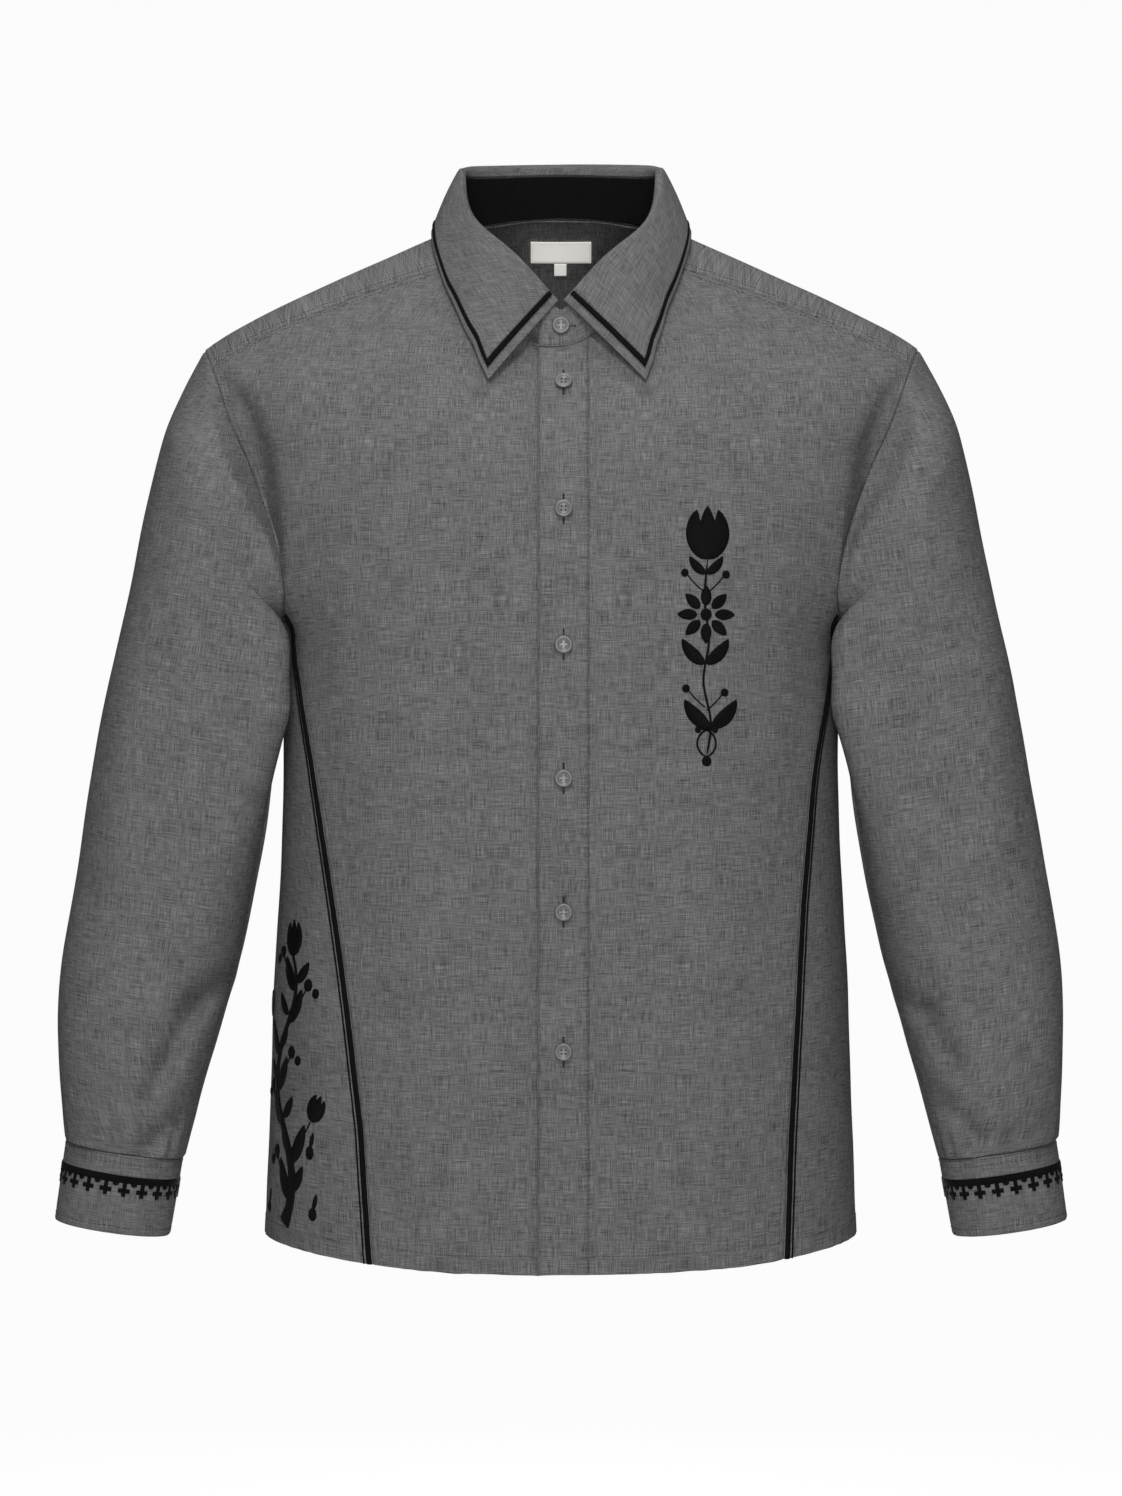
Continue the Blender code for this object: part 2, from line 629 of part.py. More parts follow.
def side_panel(side):
    """Grid of one side panel, from its front seam to its back seam."""
    arc_steps = [144, 156, 168, 180, -168, -156, -144]
    arc_angle, arc_level = arm_place(arc_steps)
    arc_points = body(side * arc_angle, arc_level)
    fine = np.linspace(0, 6, 13)
    top_angle = np.interp(fine, range(7), arc_angle)
    top_level = np.interp(fine, range(7), arc_level)
    parts = (top_angle - top_angle[0]) / (top_angle[-1] - top_angle[0])
    angles = []
    levels = []
    for level in LOW_LEVELS + [SIDE_TOP]:
        first, second = side_seam(side, level)
        even = even_angles(first, second, level, 13)
        bound = first + (second - first) * parts
        blend = float(smooth((level - 4.0) / (SIDE_TOP - 4.0)))
        angles.append(even + (bound - even) * blend)
        lift = max(0.0, (level - 5.0) / (SIDE_TOP - 5.0))
        levels.append(level + lift * (top_level - SIDE_TOP))
    angles = side * np.array(angles)
    levels = np.array(levels)
    outer = body(angles, levels)
    normals = body_normal(angles, levels)
    shared = np.array([arm_normal(side, np.array([float(step)]))[0] for step in arc_steps])
    for column in range(13):
        low = column // 2
        high = min(low + column % 2, 6)
        outer[-1, column] = 0.5 * (arc_points[low] + arc_points[high])
        normals[-1, column] = unit(shared[low] + shared[high])
    return outer, outer - normals * CLOTH


def back_panel():
    left = panel_rows(1, back=True)
    right = panel_rows(-1, back=True)
    angles = []
    levels = []
    steps = []
    for number, (one, two) in enumerate(zip(left, right)):
        line = even_angles(one[1], 2.0 * math.pi - two[1], one[0], 17)
        angles.append(line)
        levels.append([one[0]] * 17)
        if one[2] is not None:
            steps.append((number, 0, one[2]))
            steps.append((number, 16, two[2]))
    return panel_grids(np.array(angles), np.array(levels), steps, 0)


def yoke_panel():
    """Grid of the yoke, its rows running from the outer seams to the neck."""
    over = [31, 16, 0, -16, -31, -48]
    angle, level = arm_place(over)
    back_level = float(level[-1])
    across = even_angles(float(angle[-1]), 2.0 * math.pi - float(angle[-1]), back_level, 17)
    outer_angles = list(angle) + list(across[1:-1]) + [2.0 * math.pi - a for a in angle[::-1]]
    outer_levels = list(level) + [back_level] * 15 + list(level[::-1])
    neck = list(np.linspace(YOKE_NECK_ANGLE, 104.0, 6)) + list(np.linspace(104.0, 256.0, 17))[1:-1]
    neck = neck + list(np.linspace(256.0, 360.0 - YOKE_NECK_ANGLE, 6))
    neck = np.radians(np.array(neck))
    outer_angles = np.array(outer_angles)
    outer_levels = np.array(outer_levels)
    angles = np.array([outer_angles + (neck - outer_angles) * part for part in YOKE_PARTS])
    levels = np.array([outer_levels + (NECK_LEVEL - outer_levels) * part for part in YOKE_PARTS])
    count = len(outer_angles)
    steps = [(0, number, step) for number, step in enumerate(over)]
    steps += [(0, count - 1 - number, step) for number, step in enumerate(over)]
    return panel_grids(angles, levels, steps, 0)


def strip(name, points, normals, wall, colour, lift=LIFT):
    """A flat band made from a surface's own points, moved out from it."""
    return shell(name, points + normals * (lift + wall), points + normals * lift, colour)


def add_button(name, centre, normal, up):
    """A four-hole button's disc with a raised rim; its sewing is added with the cloth's."""
    profile = ((0.0, 0.0016), (0.0033, 0.0016), (0.0046, 0.0024), (0.0058, 0.0024),
               (BUTTON_RADIUS, 0.0016), (BUTTON_RADIUS, 0.0006), (0.0054, 0.0), (0.0, 0.0))
    count = 16
    side = unit(np.cross(up, normal))
    top = np.cross(normal, side)
    vertices = []
    faces = []
    for radius, height in profile:
        if radius == 0.0:
            vertices.append(centre + normal * height)
            continue
        for number in range(count):
            turn = 2.0 * math.pi * number / count
            vertices.append(centre + normal * height
                            + (side * math.cos(turn) + top * math.sin(turn)) * radius)
    for number in range(count):
        beside = (number + 1) % count
        faces.append((0, 1 + number, 1 + beside))
        for ring in range(len(profile) - 3):
            start = 1 + ring * count
            faces.append((start + number, start + count + number, start + count + beside, start + beside))
        start = 1 + (len(profile) - 3) * count
        faces.append((start + number, len(vertices) - 1, start + beside))
    add_solid(name, vertices, faces, BUTTON_GREY, 0.45)


def build_body():
    half = 0.5 * SEAM_GAP
    angles, levels, steps = front_panel(-1)
    outer, inner = panel_grids(angles, levels, steps, -1, under_sink)
    edges = ("last_row", "last_column")
    shell("front_right", draw_in(outer, edges, half), draw_in(inner, edges, half), GREY)
    angles, levels, steps = front_panel(1)
    outer, inner = panel_grids(angles, levels, steps, 1)
    dip = NECK_DIP * smooth(-outer[..., 0] / 0.0162) * smooth(levels - NECK_LEVEL + 1.0)
    rise = unit(body_form(angles, levels) - body_form(angles, levels - 0.1))
    outer = outer - rise * dip[..., None]
    inner = inner - rise * dip[..., None]
    shell("front_left", draw_in(outer, edges, half), draw_in(inner, edges, half), GREY)
    normals = unit(outer - inner)
    top = np.arange(outer.shape[0])
    strip("front_placket", draw_in(outer[top, :5], ("last_row",), half), normals[top, :5], CLOTH, GREY)
    edges = ("last_row", "first_column", "last_column")
    for side, word in ((-1, "right"), (1, "left")):
        outer, inner = side_panel(side)
        outer_drawn = draw_in(outer, edges, half)
        shell("side_panel_" + word, outer_drawn, draw_in(inner, edges, half), GREY)
        normals = unit(outer - inner)
        run = unit(outer[:, 1] - outer[:, 0])
        for name, near, far in (("side_trim_", 0.0003, 0.0042), ("side_piping_", 0.0057, 0.0067)):
            band = np.stack([outer[:, 0] + run * near, outer[:, 0] + run * far], axis=1)
            facing = np.stack([normals[:, 0], normals[:, 0]], axis=1)
            band = draw_in(band, ("last_row",), 0.0035)
            strip(name + word, band, facing, TRIM_WALL, BLACK)
    outer, inner = back_panel()
    edges = ("last_row", "first_column", "last_column")
    shell("back_panel", draw_in(outer, edges, half), draw_in(inner, edges, half), GREY)
    outer, inner = yoke_panel()
    edges = ("first_row", "last_row", "first_column", "last_column")
    shell("yoke", draw_in(outer, edges, half), draw_in(inner, edges, half), GREY)


def build_sleeves():
    around = np.array([float(step) for step in ARM_STEPS] + [-float(step) for step in ARM_STEPS[-2:0:-1]])
    rows = np.arange(15.0)
    half = 0.5 * SEAM_GAP
    for side, word in ((-1, "right"), (1, "left")):
        step, row = np.meshgrid(around, rows)
        outer = sleeve(side, step, row)
        normals = sleeve_normal(side, step, row)
        normals[0] = arm_normal(side, around)
        inner = outer - normals * CLOTH
        edges = ("first_row", "last_row")
        shell("sleeve_" + word, draw_in(outer, edges, half), draw_in(inner, edges, half), GREY, closed=True)
        step, row = np.meshgrid(np.array([-50.0, -57.0, -64.0, -71.0]), np.linspace(10.6, 13.9, 8))
        strip("sleeve_placket_" + word, sleeve(side, step, row), sleeve_normal(side, step, row), CLOTH, GREY)
        path = np.linspace(-80.0, 308.0, 34)
        step, drop = np.meshgrid(path, np.array([0.0, 0.33, 0.67, 1.0]))
        outer = cuff_point(side, step, drop, np.zeros_like(step))
        inner = cuff_point(side, step, drop, np.full_like(step, CUFF_WALL))
        shell("cuff_" + word, outer, inner, GREY)
        place = np.array([-68.0])
        spot = cuff_point(side, place, np.array([0.5]), np.zeros(1))[0]
        behind = cuff_point(side, place, np.array([0.5]), np.full(1, 0.001))[0]
        normal = unit(spot - behind)
        add_button("cuff_button_" + word, spot + normal * (LIFT + 0.0002), normal, np.array([0.0, 0.0, 1.0]))


def build_collar():
    path = np.linspace(-10.6, 374.0, 49)
    span = 0.069 * math.pi / 180.0
    gap = np.minimum(path - path[0], path[-1] - path) * span
    corner = 0.011
    drop = corner - np.sqrt(np.maximum(corner ** 2 - np.maximum(corner - gap, 0.0) ** 2, 0.0))
    top = 1.0 - drop / 0.028
    share = np.array([0.0, 0.5, 1.0])
    height = share[:, None] * top[None, :]
    around = np.broadcast_to(path, height.shape)
    for name, near, wall, colour in (
        ("collar_stand", 0.0, STAND_WALL, GREY),
        ("collar_stand_facing", STAND_WALL + SEAM_GAP, FACING_WALL, BLACK),
    ):
        outer = stand_point(around, height, near)
        inner = stand_point(around, height, near + wall)
        shell(name, outer, inner, colour)
    path = np.concatenate([np.linspace(3.9, 61.0, 7), np.linspace(61.0, 180.0, 12)[1:]])
    path = np.concatenate([path, 360.0 - path[-2::-1]])
    rows = np.array([0.0, 0.7, 1.3, 1.7, 2.1, 2.5, 3.0, 3.8, 4.6, 5.4, 6.0])
    around, row = np.meshgrid(path, rows)
    outer = leaf_point(around, row)
    normals = leaf_normal(around, row)
    shell("collar_leaf", outer, outer - normals * LEAF_WALL, GREY)
    spots = trim_spots(path)
    band = leaf_point(spots[..., 0], spots[..., 1])
    facing = leaf_normal(spots[..., 0], spots[..., 1])
    strip("collar_trim", band, facing, TRIM_WALL, BLACK, lift=0.0006)


def trim_spots(path):
    """Path angle and row of both edges of the collar's black line."""
    near = 0.0060
    far = 0.0095
    spots = []
    for inset in (near, far):
        line = []
        for row in (3.15, 3.8, 4.5, 5.2):
            here = leaf_point(np.array([3.9, 6.9]), np.array([row, row]))
            width = np.linalg.norm(here[1] - here[0]) / 3.0
            line.append((3.9 + inset / width, row))
        corner = leaf_point(np.array([3.9, 3.9]), np.array([5.0, 6.0]))
        length = np.linalg.norm(corner[1] - corner[0])
        width = np.linalg.norm(np.diff(leaf_point(np.array([3.9, 6.9]), np.array([5.6, 5.6])), axis=0)) / 3.0
        line.append((3.9 + inset / width, 6.0 - inset / length))
        for angle in path[(path > 14.0) & (path <= 180.0)]:
            here = leaf_point(np.array([angle, angle]), np.array([5.0, 6.0]))
            length = np.linalg.norm(here[1] - here[0])
            line.append((angle, 6.0 - inset / length))
        line = line + [(360.0 - angle, row) for angle, row in line[-2::-1]]
        spots.append(line)
    return np.array(spots)


def build_buttons():
    path = np.array([0.0])
    spot = stand_point(path, np.array([0.56]), 0.0)[0]
    rise = stand_point(path, np.array([0.66]), 0.0)[0] - stand_point(path, np.array([0.46]), 0.0)[0]
    normal = unit(np.cross(np.array([1.0, 0.0, 0.0]), rise))
    up = np.array([0.0, 0.0, 1.0])
    add_button("front_button_1", spot + normal * (LIFT + 0.0012), normal, up)
    heights = (-0.1210, -0.2096, -0.3029, -0.3946, -0.4867, -0.5830)
    for number, z in enumerate(heights):
        level = level_at(PLACKET_MIDDLE, z)
        angle = angle_at(PLACKET_MIDDLE, level)
        spot = body(angle, level)
        normal = body_normal(angle, level)
        away = 2.0 * LIFT + CLOTH + 0.0004
        add_button("front_button_" + str(number + 2), spot + normal * away, normal, up)


def build_label():
    """The bare woven label on the inside of the yoke, and the tab below it."""
    for name, left, right, top, bottom in (
        ("label", -0.0225, 0.0225, 0.0002, -0.0136),
        ("label_tab", -0.0050, 0.0040, -0.0142, -0.0222),
    ):
        points = []
        for z in np.linspace(top, bottom, 3):
            line = []
            for x in np.linspace(left, right, 5):
                level = level_at(x, z, back=True)
                angle = angle_at(x, level, back=True)
                inside = body(angle, level) - body_normal(angle, level) * (CLOTH + 0.0015)
                line.append(inside)
            points.append(line)
        points = np.array(points)
        normals = -unit(np.array([[body_normal(angle_at(p[0], level_at(p[0], p[2], True), True),
                                               level_at(p[0], p[2], True)) for p in line] for line in points]))
        shell(name, points + normals * 0.001, points, LABEL_CREAM)


build_body()
build_sleeves()
build_collar()
build_buttons()
build_label()
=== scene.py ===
# Looks of the filled-out linen shirt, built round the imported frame.
# Units are metres. +Z is up, the wearer faces -Y and +X is the wearer's left.

import math

import bpy
import numpy as np
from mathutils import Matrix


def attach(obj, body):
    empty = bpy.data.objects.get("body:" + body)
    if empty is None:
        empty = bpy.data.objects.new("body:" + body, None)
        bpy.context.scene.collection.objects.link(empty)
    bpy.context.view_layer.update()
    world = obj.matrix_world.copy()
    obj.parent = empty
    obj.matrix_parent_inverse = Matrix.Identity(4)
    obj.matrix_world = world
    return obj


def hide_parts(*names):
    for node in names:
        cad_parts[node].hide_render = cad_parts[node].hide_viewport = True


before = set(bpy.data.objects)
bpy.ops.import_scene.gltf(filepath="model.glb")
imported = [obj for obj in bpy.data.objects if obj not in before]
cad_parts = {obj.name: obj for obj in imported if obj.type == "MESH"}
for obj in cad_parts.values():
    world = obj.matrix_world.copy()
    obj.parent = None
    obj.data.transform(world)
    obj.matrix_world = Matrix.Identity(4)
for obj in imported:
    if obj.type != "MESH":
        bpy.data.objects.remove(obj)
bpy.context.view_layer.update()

CLOTH = 0.00125
SEAM_GAP = 0.0003
NECK_GAP = 0.0006
LIFT = 0.00035
STAND_WALL = 0.0012
FACING_WALL = 0.0009
LEAF_WALL = 0.0016
CUFF_WALL = 0.0020
FRONT_OVERLAP = 0.0018
NECK_OVERLAP = 0.0015

# x of the grid columns down the placket from its free edge to its seam, and of those under it
PLACKET_COLUMNS = (-0.0162, -0.0120, -0.0072, -0.0030, 0.0018, 0.0063, 0.0108, 0.0152, 0.0197)
PLACKET_MIDDLE = PLACKET_COLUMNS[4]
UNDER_COLUMNS = (0.0180, 0.0145) + PLACKET_COLUMNS[6::-1]

NECK_LEVEL = 17.0
DRAPE_SEED = 1.7
SIDES = ((1, "left"), (-1, "right"))

# Rings of the body from hem to neck
# half width, front depth, back depth, z at side, z at front, z at back, power
BODY = (
    (0.2115, 0.1310, 0.128, -0.7205, -0.7370, -0.7340, 2.50),
    (0.2093, 0.1310, 0.127, -0.6400, -0.6400, -0.6400, 2.50),
    (0.2060, 0.1320, 0.125, -0.5550, -0.5550, -0.5550, 2.50),
    (0.2020, 0.1340, 0.124, -0.4830, -0.4830, -0.4830, 2.50),
    (0.1992, 0.1370, 0.126, -0.4000, -0.4000, -0.4000, 2.50),
    (0.1985, 0.1390, 0.128, -0.3450, -0.3450, -0.3450, 2.50),
    (0.1985, 0.1400, 0.130, -0.3000, -0.3000, -0.3000, 2.45),
    (0.2160, 0.1395, 0.132, -0.2720, -0.2720, -0.2700, 2.30),
    (0.2400, 0.1385, 0.134, -0.2430, -0.2450, -0.2380, 2.15),
    (0.2620, 0.1360, 0.135, -0.2100, -0.2170, -0.2000, 2.05),
    (0.2790, 0.1320, 0.134, -0.1720, -0.1900, -0.1580, 2.00),
    (0.2860, 0.1260, 0.130, -0.1360, -0.1660, -0.1180, 2.00),
    (0.2740, 0.1180, 0.122, -0.1040, -0.1450, -0.0800, 2.00),
    (0.2450, 0.1085, 0.110, -0.0800, -0.1280, -0.0480, 2.00),
    (0.2000, 0.1000, 0.094, -0.0565, -0.1145, -0.0240, 2.00),
    (0.1450, 0.0920, 0.074, -0.0310, -0.1035, -0.0040, 2.00),
    (0.1000, 0.0865, 0.058, -0.0112, -0.0970, 0.0075, 2.00),
    (0.0710, 0.0830, 0.047, 0.0015, -0.0930, 0.0126, 2.00),
)

# Top ring of the collar stand, in the same columns
STAND_TOP = (0.0708, 0.0775, 0.044, 0.0368, -0.0675, 0.0425, 2.00)
STAND_START = -10.6
STAND_END = 374.0
STAND_CORNER = 0.011
STAND_HEIGHT = 0.028
NECK_RADIUS = 0.069
STAND_WAVE = 0.0130
STAND_FULL = 0.085
NECK_DIP = 0.0055

# Armhole, as an oval in the body's angle and ring number
ARM_LEVEL = 9.475
ARM_REACH = 3.175
ARM_FRONT = 38.5
ARM_BACK = 31.0
ARM_POWER = 0.85

# Angles round the armhole from the shoulder point, where the yoke and the side panel end
ARM_YOKE_FRONT = 31
ARM_YOKE_BACK = 48
ARM_SIDE = 144

# Sleeve rings over which the cap settles, and how the sleeve keeps clear of the body
CAP_ROWS = 2.5
SLEEVE_CLEARANCE = 0.0045
UNDERARM_Z = -0.28

# Rings of the wearer's left sleeve from armhole to cuff seam
# outer x, outer z, inner x, inner z, y of middle, front depth, back depth, fullness
SLEEVE = (
    (0.2560, -0.0866, 0.2035, -0.2920, -0.006, 0.0770, 0.0750, 0.0),
    (0.2692, -0.1116, 0.2065, -0.2915, -0.008, 0.0790, 0.0770, 0.1),
    (0.2799, -0.1374, 0.2078, -0.2945, -0.010, 0.0800, 0.0780, 0.4),
    (0.2866, -0.1599, 0.2080, -0.2985, -0.011, 0.0805, 0.0790, 0.8),
    (0.2953, -0.1981, 0.2075, -0.3070, -0.012, 0.0810, 0.0790, 1.0),
    (0.3074, -0.2553, 0.2063, -0.3250, -0.014, 0.0810, 0.0780, 1.0),
    (0.3196, -0.3104, 0.2048, -0.3500, -0.017, 0.0800, 0.0770, 1.0),
    (0.3254, -0.3399, 0.2046, -0.3710, -0.019, 0.0785, 0.0750, 0.75),
    (0.3373, -0.4107, 0.2106, -0.4323, -0.024, 0.0740, 0.0710, 0.25),
    (0.3480, -0.4816, 0.2262, -0.5090, -0.030, 0.0695, 0.0670, 0.0),
    (0.3540, -0.5217, 0.2369, -0.5496, -0.034, 0.0665, 0.0650, 0.0),
    (0.3560, -0.5575, 0.2453, -0.5820, -0.038, 0.0640, 0.0630, 0.0),
    (0.3556, -0.5862, 0.2520, -0.6063, -0.042, 0.0610, 0.0600, 0.0),
    (0.3535, -0.6183, 0.2602, -0.6364, -0.046, 0.0545, 0.0540, 0.0),
    (0.3499, -0.6503, 0.2672, -0.6634, -0.050, 0.0450, 0.0450, 0.0),
)

# Upper and lower ring of the cuff
# outer x, outer z, inner x, inner z, y of middle, depth
CUFF = (
    (0.3500, -0.6507, 0.2673, -0.6638, -0.050, 0.0448),
    (0.3579, -0.7055, 0.2770, -0.7179, -0.053, 0.0430),
)

# Slanting front seams and plain back seams of the side panels
# ring number, wearer's right x, wearer's left x, back seam x
SIDE_SEAMS = (
    (0, 0.1307, 0.1549, 0.178),
    (1, 0.1369, 0.1587, 0.178),
    (2, 0.1474, 0.1635, 0.178),
    (3, 0.1576, 0.1673, 0.178),
    (4, 0.1707, 0.1758, 0.181),
    (5, 0.1804, 0.1850, 0.185),
    (6, 0.1885, 0.1925, 0.190),
)

# Main creases: place, face, first end, second end, depth, half width
# A trough is negative and a ridge is positive; ends are (x, z)
CREASES = (
    ("body", "front", (-0.221, -0.115), (-0.194, -0.230), -0.0035, 0.014),
    ("body", "front", (0.219, -0.128), (0.199, -0.230), -0.0040, 0.015),
    ("body", "front", (-0.120, -0.330), (-0.085, -0.745), 0.0022, 0.032),
    ("body", "front", (0.100, -0.360), (0.115, -0.745), 0.0024, 0.034),
    ("body", "front", (-0.045, -0.420), (-0.035, -0.745), -0.0016, 0.030),
    ("body", "back", (-0.200, -0.130), (-0.150, -0.300), -0.0030, 0.018),
    ("body", "back", (0.200, -0.130), (0.150, -0.300), -0.0030, 0.018),
    ("body", "back", (-0.090, -0.330), (-0.110, -0.745), 0.0026, 0.036),
    ("body", "back", (0.085, -0.300), (0.105, -0.745), 0.0024, 0.034),
    ("body", "back", (0.010, -0.260), (-0.010, -0.745), -0.0020, 0.040),
    ("sleeve", "front", (-0.262, -0.150), (-0.226, -0.255), 0.0030, 0.016),
    ("sleeve", "front", (0.264, -0.150), (0.226, -0.260), 0.0035, 0.016),
    ("sleeve", "front", (-0.335, -0.470), (-0.275, -0.520), -0.0026, 0.016),
    ("sleeve", "front", (0.330, -0.455), (0.270, -0.500), -0.0026, 0.016),
    ("sleeve", "back", (-0.300, -0.200), (-0.240, -0.320), -0.0030, 0.020),
    ("sleeve", "back", (0.300, -0.200), (0.240, -0.320), -0.0030, 0.020),
    ("sleeve", "back", (-0.340, -0.430), (-0.270, -0.480), -0.0028, 0.018),
    ("sleeve", "back", (0.340, -0.430), (0.270, -0.480), -0.0028, 0.018),
)

# Collar leaf, on the wearer's left half and mirrored for the right
# angle on the stand, rise over the stand, body angle under the edge, body ring under the edge
LEAF = (
    (3.9, 0.0023, 13.6, 13.33),
    (13.5, 0.0032, 17.45, 14.02),
    (24.0, 0.0042, 24.4, 14.78),
    (43.6, 0.0048, 37.0, 15.48),
    (61.0, 0.0056, 49.4, 15.80),
    (77.0, 0.0050, 65.0, 16.04),
    (90.0, 0.0050, 88.0, 16.24),
    (115.0, 0.0080, 115.0, 16.18),
    (147.0, 0.0086, 146.0, 16.05),
    (180.0, 0.0083, 180.0, 15.98),
)
LEAF_START = LEAF[0][0]
LEAF_EDGE_LIFT = 0.0052
LEAF_BULGE = 0.0012
LEAF_LEAN = 0.0042
LEAF_GAP = 0.0015


def smooth(value):
    value = np.clip(value, 0.0, 1.0)
    return value * value * (3.0 - 2.0 * value)


def bell(distance, half_width):
    """1 at no distance, and falling off on both sides."""
    return np.exp(-(distance / half_width) ** 2)


def signed_power(value, exponent):
    return np.sign(value) * np.abs(value) ** exponent


def unit(vectors):
    return vectors / np.maximum(np.linalg.norm(vectors, axis=-1, keepdims=True), 1e-12)


def near_rows(place, last):
    """The four rows round a fractional row number, and the part of the way from the second to the third."""
    place = np.clip(np.asarray(place, float), 0.0, last)
    start = np.minimum(place.astype(int), last - 1)
    return [np.clip(start + shift, 0, last) for shift in (-1, 0, 1, 2)], (place - start)[..., None]


def spline(before, here, there, after, part):
    """A smooth curve from here to there, at a part of the way."""
    cubic = 3.0 * (here - there) + after - before
    square = 2.0 * before - 5.0 * here + 4.0 * there - after
    return here + 0.5 * part * (there - before + part * (square + part * cubic))


def along(table, place):
    """A table's row at a fractional row number, on a smooth curve through its rows."""
    rows = np.asarray(table, float)
    near, part = near_rows(place, len(rows) - 1)
    return spline(*(rows[index] for index in near), part)


def ring_point(ring, angle):
    """Point of a body ring; the angle is 0 at centre front and 90 at the wearer's left."""
    sine = np.sin(angle)
    cosine = np.cos(angle)
    bend = 2.0 / ring[..., 6]
    x = ring[..., 0] * signed_power(sine, bend)
    depth = np.where(cosine > 0, ring[..., 1], ring[..., 2])
    y = -depth * signed_power(cosine, bend)
    middle = np.where(cosine > 0, ring[..., 4], ring[..., 5])
    z = ring[..., 3] + (middle - ring[..., 3]) * cosine ** 2
    return np.stack([x, y, z], axis=-1)


def body_form(angle, level):
    return ring_point(along(BODY, level), angle)


def normal_of(form, first, second, step_first, step_second):
    one = form(first + step_first, second) - form(first - step_first, second)
    two = form(first, second + step_second) - form(first, second - step_second)
    return unit(np.cross(one, two))


def creases(cloth, point, normal):
    """How far the cloth stands off its plain form."""
    total = np.zeros(point.shape[:-1])
    for place, face, first, second, depth, width in CREASES:
        if place != cloth:
            continue
        facing = -normal[..., 1] if face == "front" else normal[..., 1]
        start = np.array(first)
        run = np.array(second) - start
        length = math.hypot(*run)
        run = run / length
        from_start = point[..., [0, 2]] - start
        step = from_start @ run
        across = from_start @ np.array([-run[1], run[0]])
        over = np.maximum(0.0, np.maximum(-step, step - length))
        fade = bell(across, width) * bell(over, 2.0 * width)
        taper = 0.45 + 0.55 * np.sin(np.pi * np.clip(step / length, 0.0, 1.0))
        total = total + depth * fade * taper * smooth(facing * 1.8 - 0.15)
    return total


def body(angle, level):
    """Outer face of the body, creases and all."""
    point = body_form(angle, level)
    normal = normal_of(body_form, angle, level, 0.004, 0.02)
    return point + normal * creases("body", point, normal)[..., None]


def body_normal(angle, level):
    return normal_of(body, angle, level, 0.006, 0.03)


def angle_at(x, level, back=False):
    """Angle where a body ring has the given x."""
    ring = along(BODY, level)
    sine = signed_power(np.asarray(x) / ring[..., 0], ring[..., 6] / 2.0)
    angle = np.arcsin(np.clip(sine, -1.0, 1.0))
    if back:
        return np.pi - angle
    return angle


def arm_place(step):
    """Body angle and ring number at an angle round the armhole; positive is the front."""
    step = np.radians(step)
    level = ARM_LEVEL + ARM_REACH * signed_power(np.cos(step), ARM_POWER)
    spread = np.where(np.sin(step) > 0, -ARM_FRONT, ARM_BACK)
    angle = np.radians(90.0 + spread * np.abs(np.sin(step)) ** ARM_POWER)
    return angle, level


def torso_side(y, z):
    """Half width of the body at a given depth and height below the armhole."""
    heights = [row[3] for row in BODY[:8]]
    level = np.interp(z, heights, range(8))
    ring = along(BODY, level)
    depth = np.where(y < 0, ring[..., 1], ring[..., 2])
    reach = np.clip(1.0 - np.abs(y / depth) ** ring[..., 6], 0.0, 1.0)
    return ring[..., 0] * reach ** (1.0 / ring[..., 6])


def oval(ring, turn, bend, depth):
    """Point of a sleeve's or a cuff's ring, which slants from its outer to its inner end."""
    out = signed_power(np.cos(turn), bend)
    x = 0.5 * (ring[..., 0] + ring[..., 2]) + 0.5 * (ring[..., 0] - ring[..., 2]) * out
    z = 0.5 * (ring[..., 1] + ring[..., 3]) + 0.5 * (ring[..., 1] - ring[..., 3]) * out
    y = ring[..., 4] - depth * signed_power(np.sin(turn), bend)
    return np.stack([x, y, z], axis=-1)


def sleeve_tube(step, row):
    """The wearer's left sleeve before it is joined to the armhole."""
    ring = along(SLEEVE, row)
    turn = np.radians(step)
    full = ring[..., 7] * np.where((np.sin(turn) > 0) & (np.cos(turn) < 0), 1.0, 0.0)
    depth = np.where(np.sin(turn) > 0, ring[..., 5], ring[..., 6])
    point = oval(ring, turn, ARM_POWER - 0.20 * full, depth)
    point[..., 0] -= 0.024 * full * np.sin(2.0 * turn) ** 2
    return point


def sleeve_form(side, step, row):
    """Plain form of a sleeve; side is +1 for the wearer's left and -1 for the right."""
    flip = np.array([side, 1.0, 1.0])
    angle, level = arm_place(step)
    seam = body(side * angle, level) * flip
    tube = sleeve_tube(step, row)
    start = sleeve_tube(step, np.zeros_like(row))
    point = tube + (seam - start) * (1.0 - smooth(row / CAP_ROWS))[..., None]
    x, y, z = np.moveaxis(point, -1, 0)
    room = torso_side(y, z) + SLEEVE_CLEARANCE
    pushed = 0.5 * (x + room + np.sqrt((x - room) ** 2 + 4e-6))
    inside = (np.cos(np.radians(step)) < 0.2) & (z < UNDERARM_Z)
    share = smooth(row - 0.6) * inside
    return np.stack([x + (pushed - x) * share, y, z], axis=-1) * flip


def sleeve(side, step, row):
    """Outer face of a sleeve, creases and all."""

    def form(first, second):
        return sleeve_form(side, first, np.maximum(second, 0.0))

    point = form(step, row)
    normal = normal_of(form, step, row + 0.03, 1.5, 0.03) * side
    height = creases("sleeve", point, normal) * smooth(row / 1.2)
    return point + normal * height[..., None]


def sleeve_normal(side, step, row):
    def form(first, second):
        return sleeve(side, first, np.maximum(second, 0.0))

    return normal_of(form, step, row + 0.05, 2.0, 0.05) * side


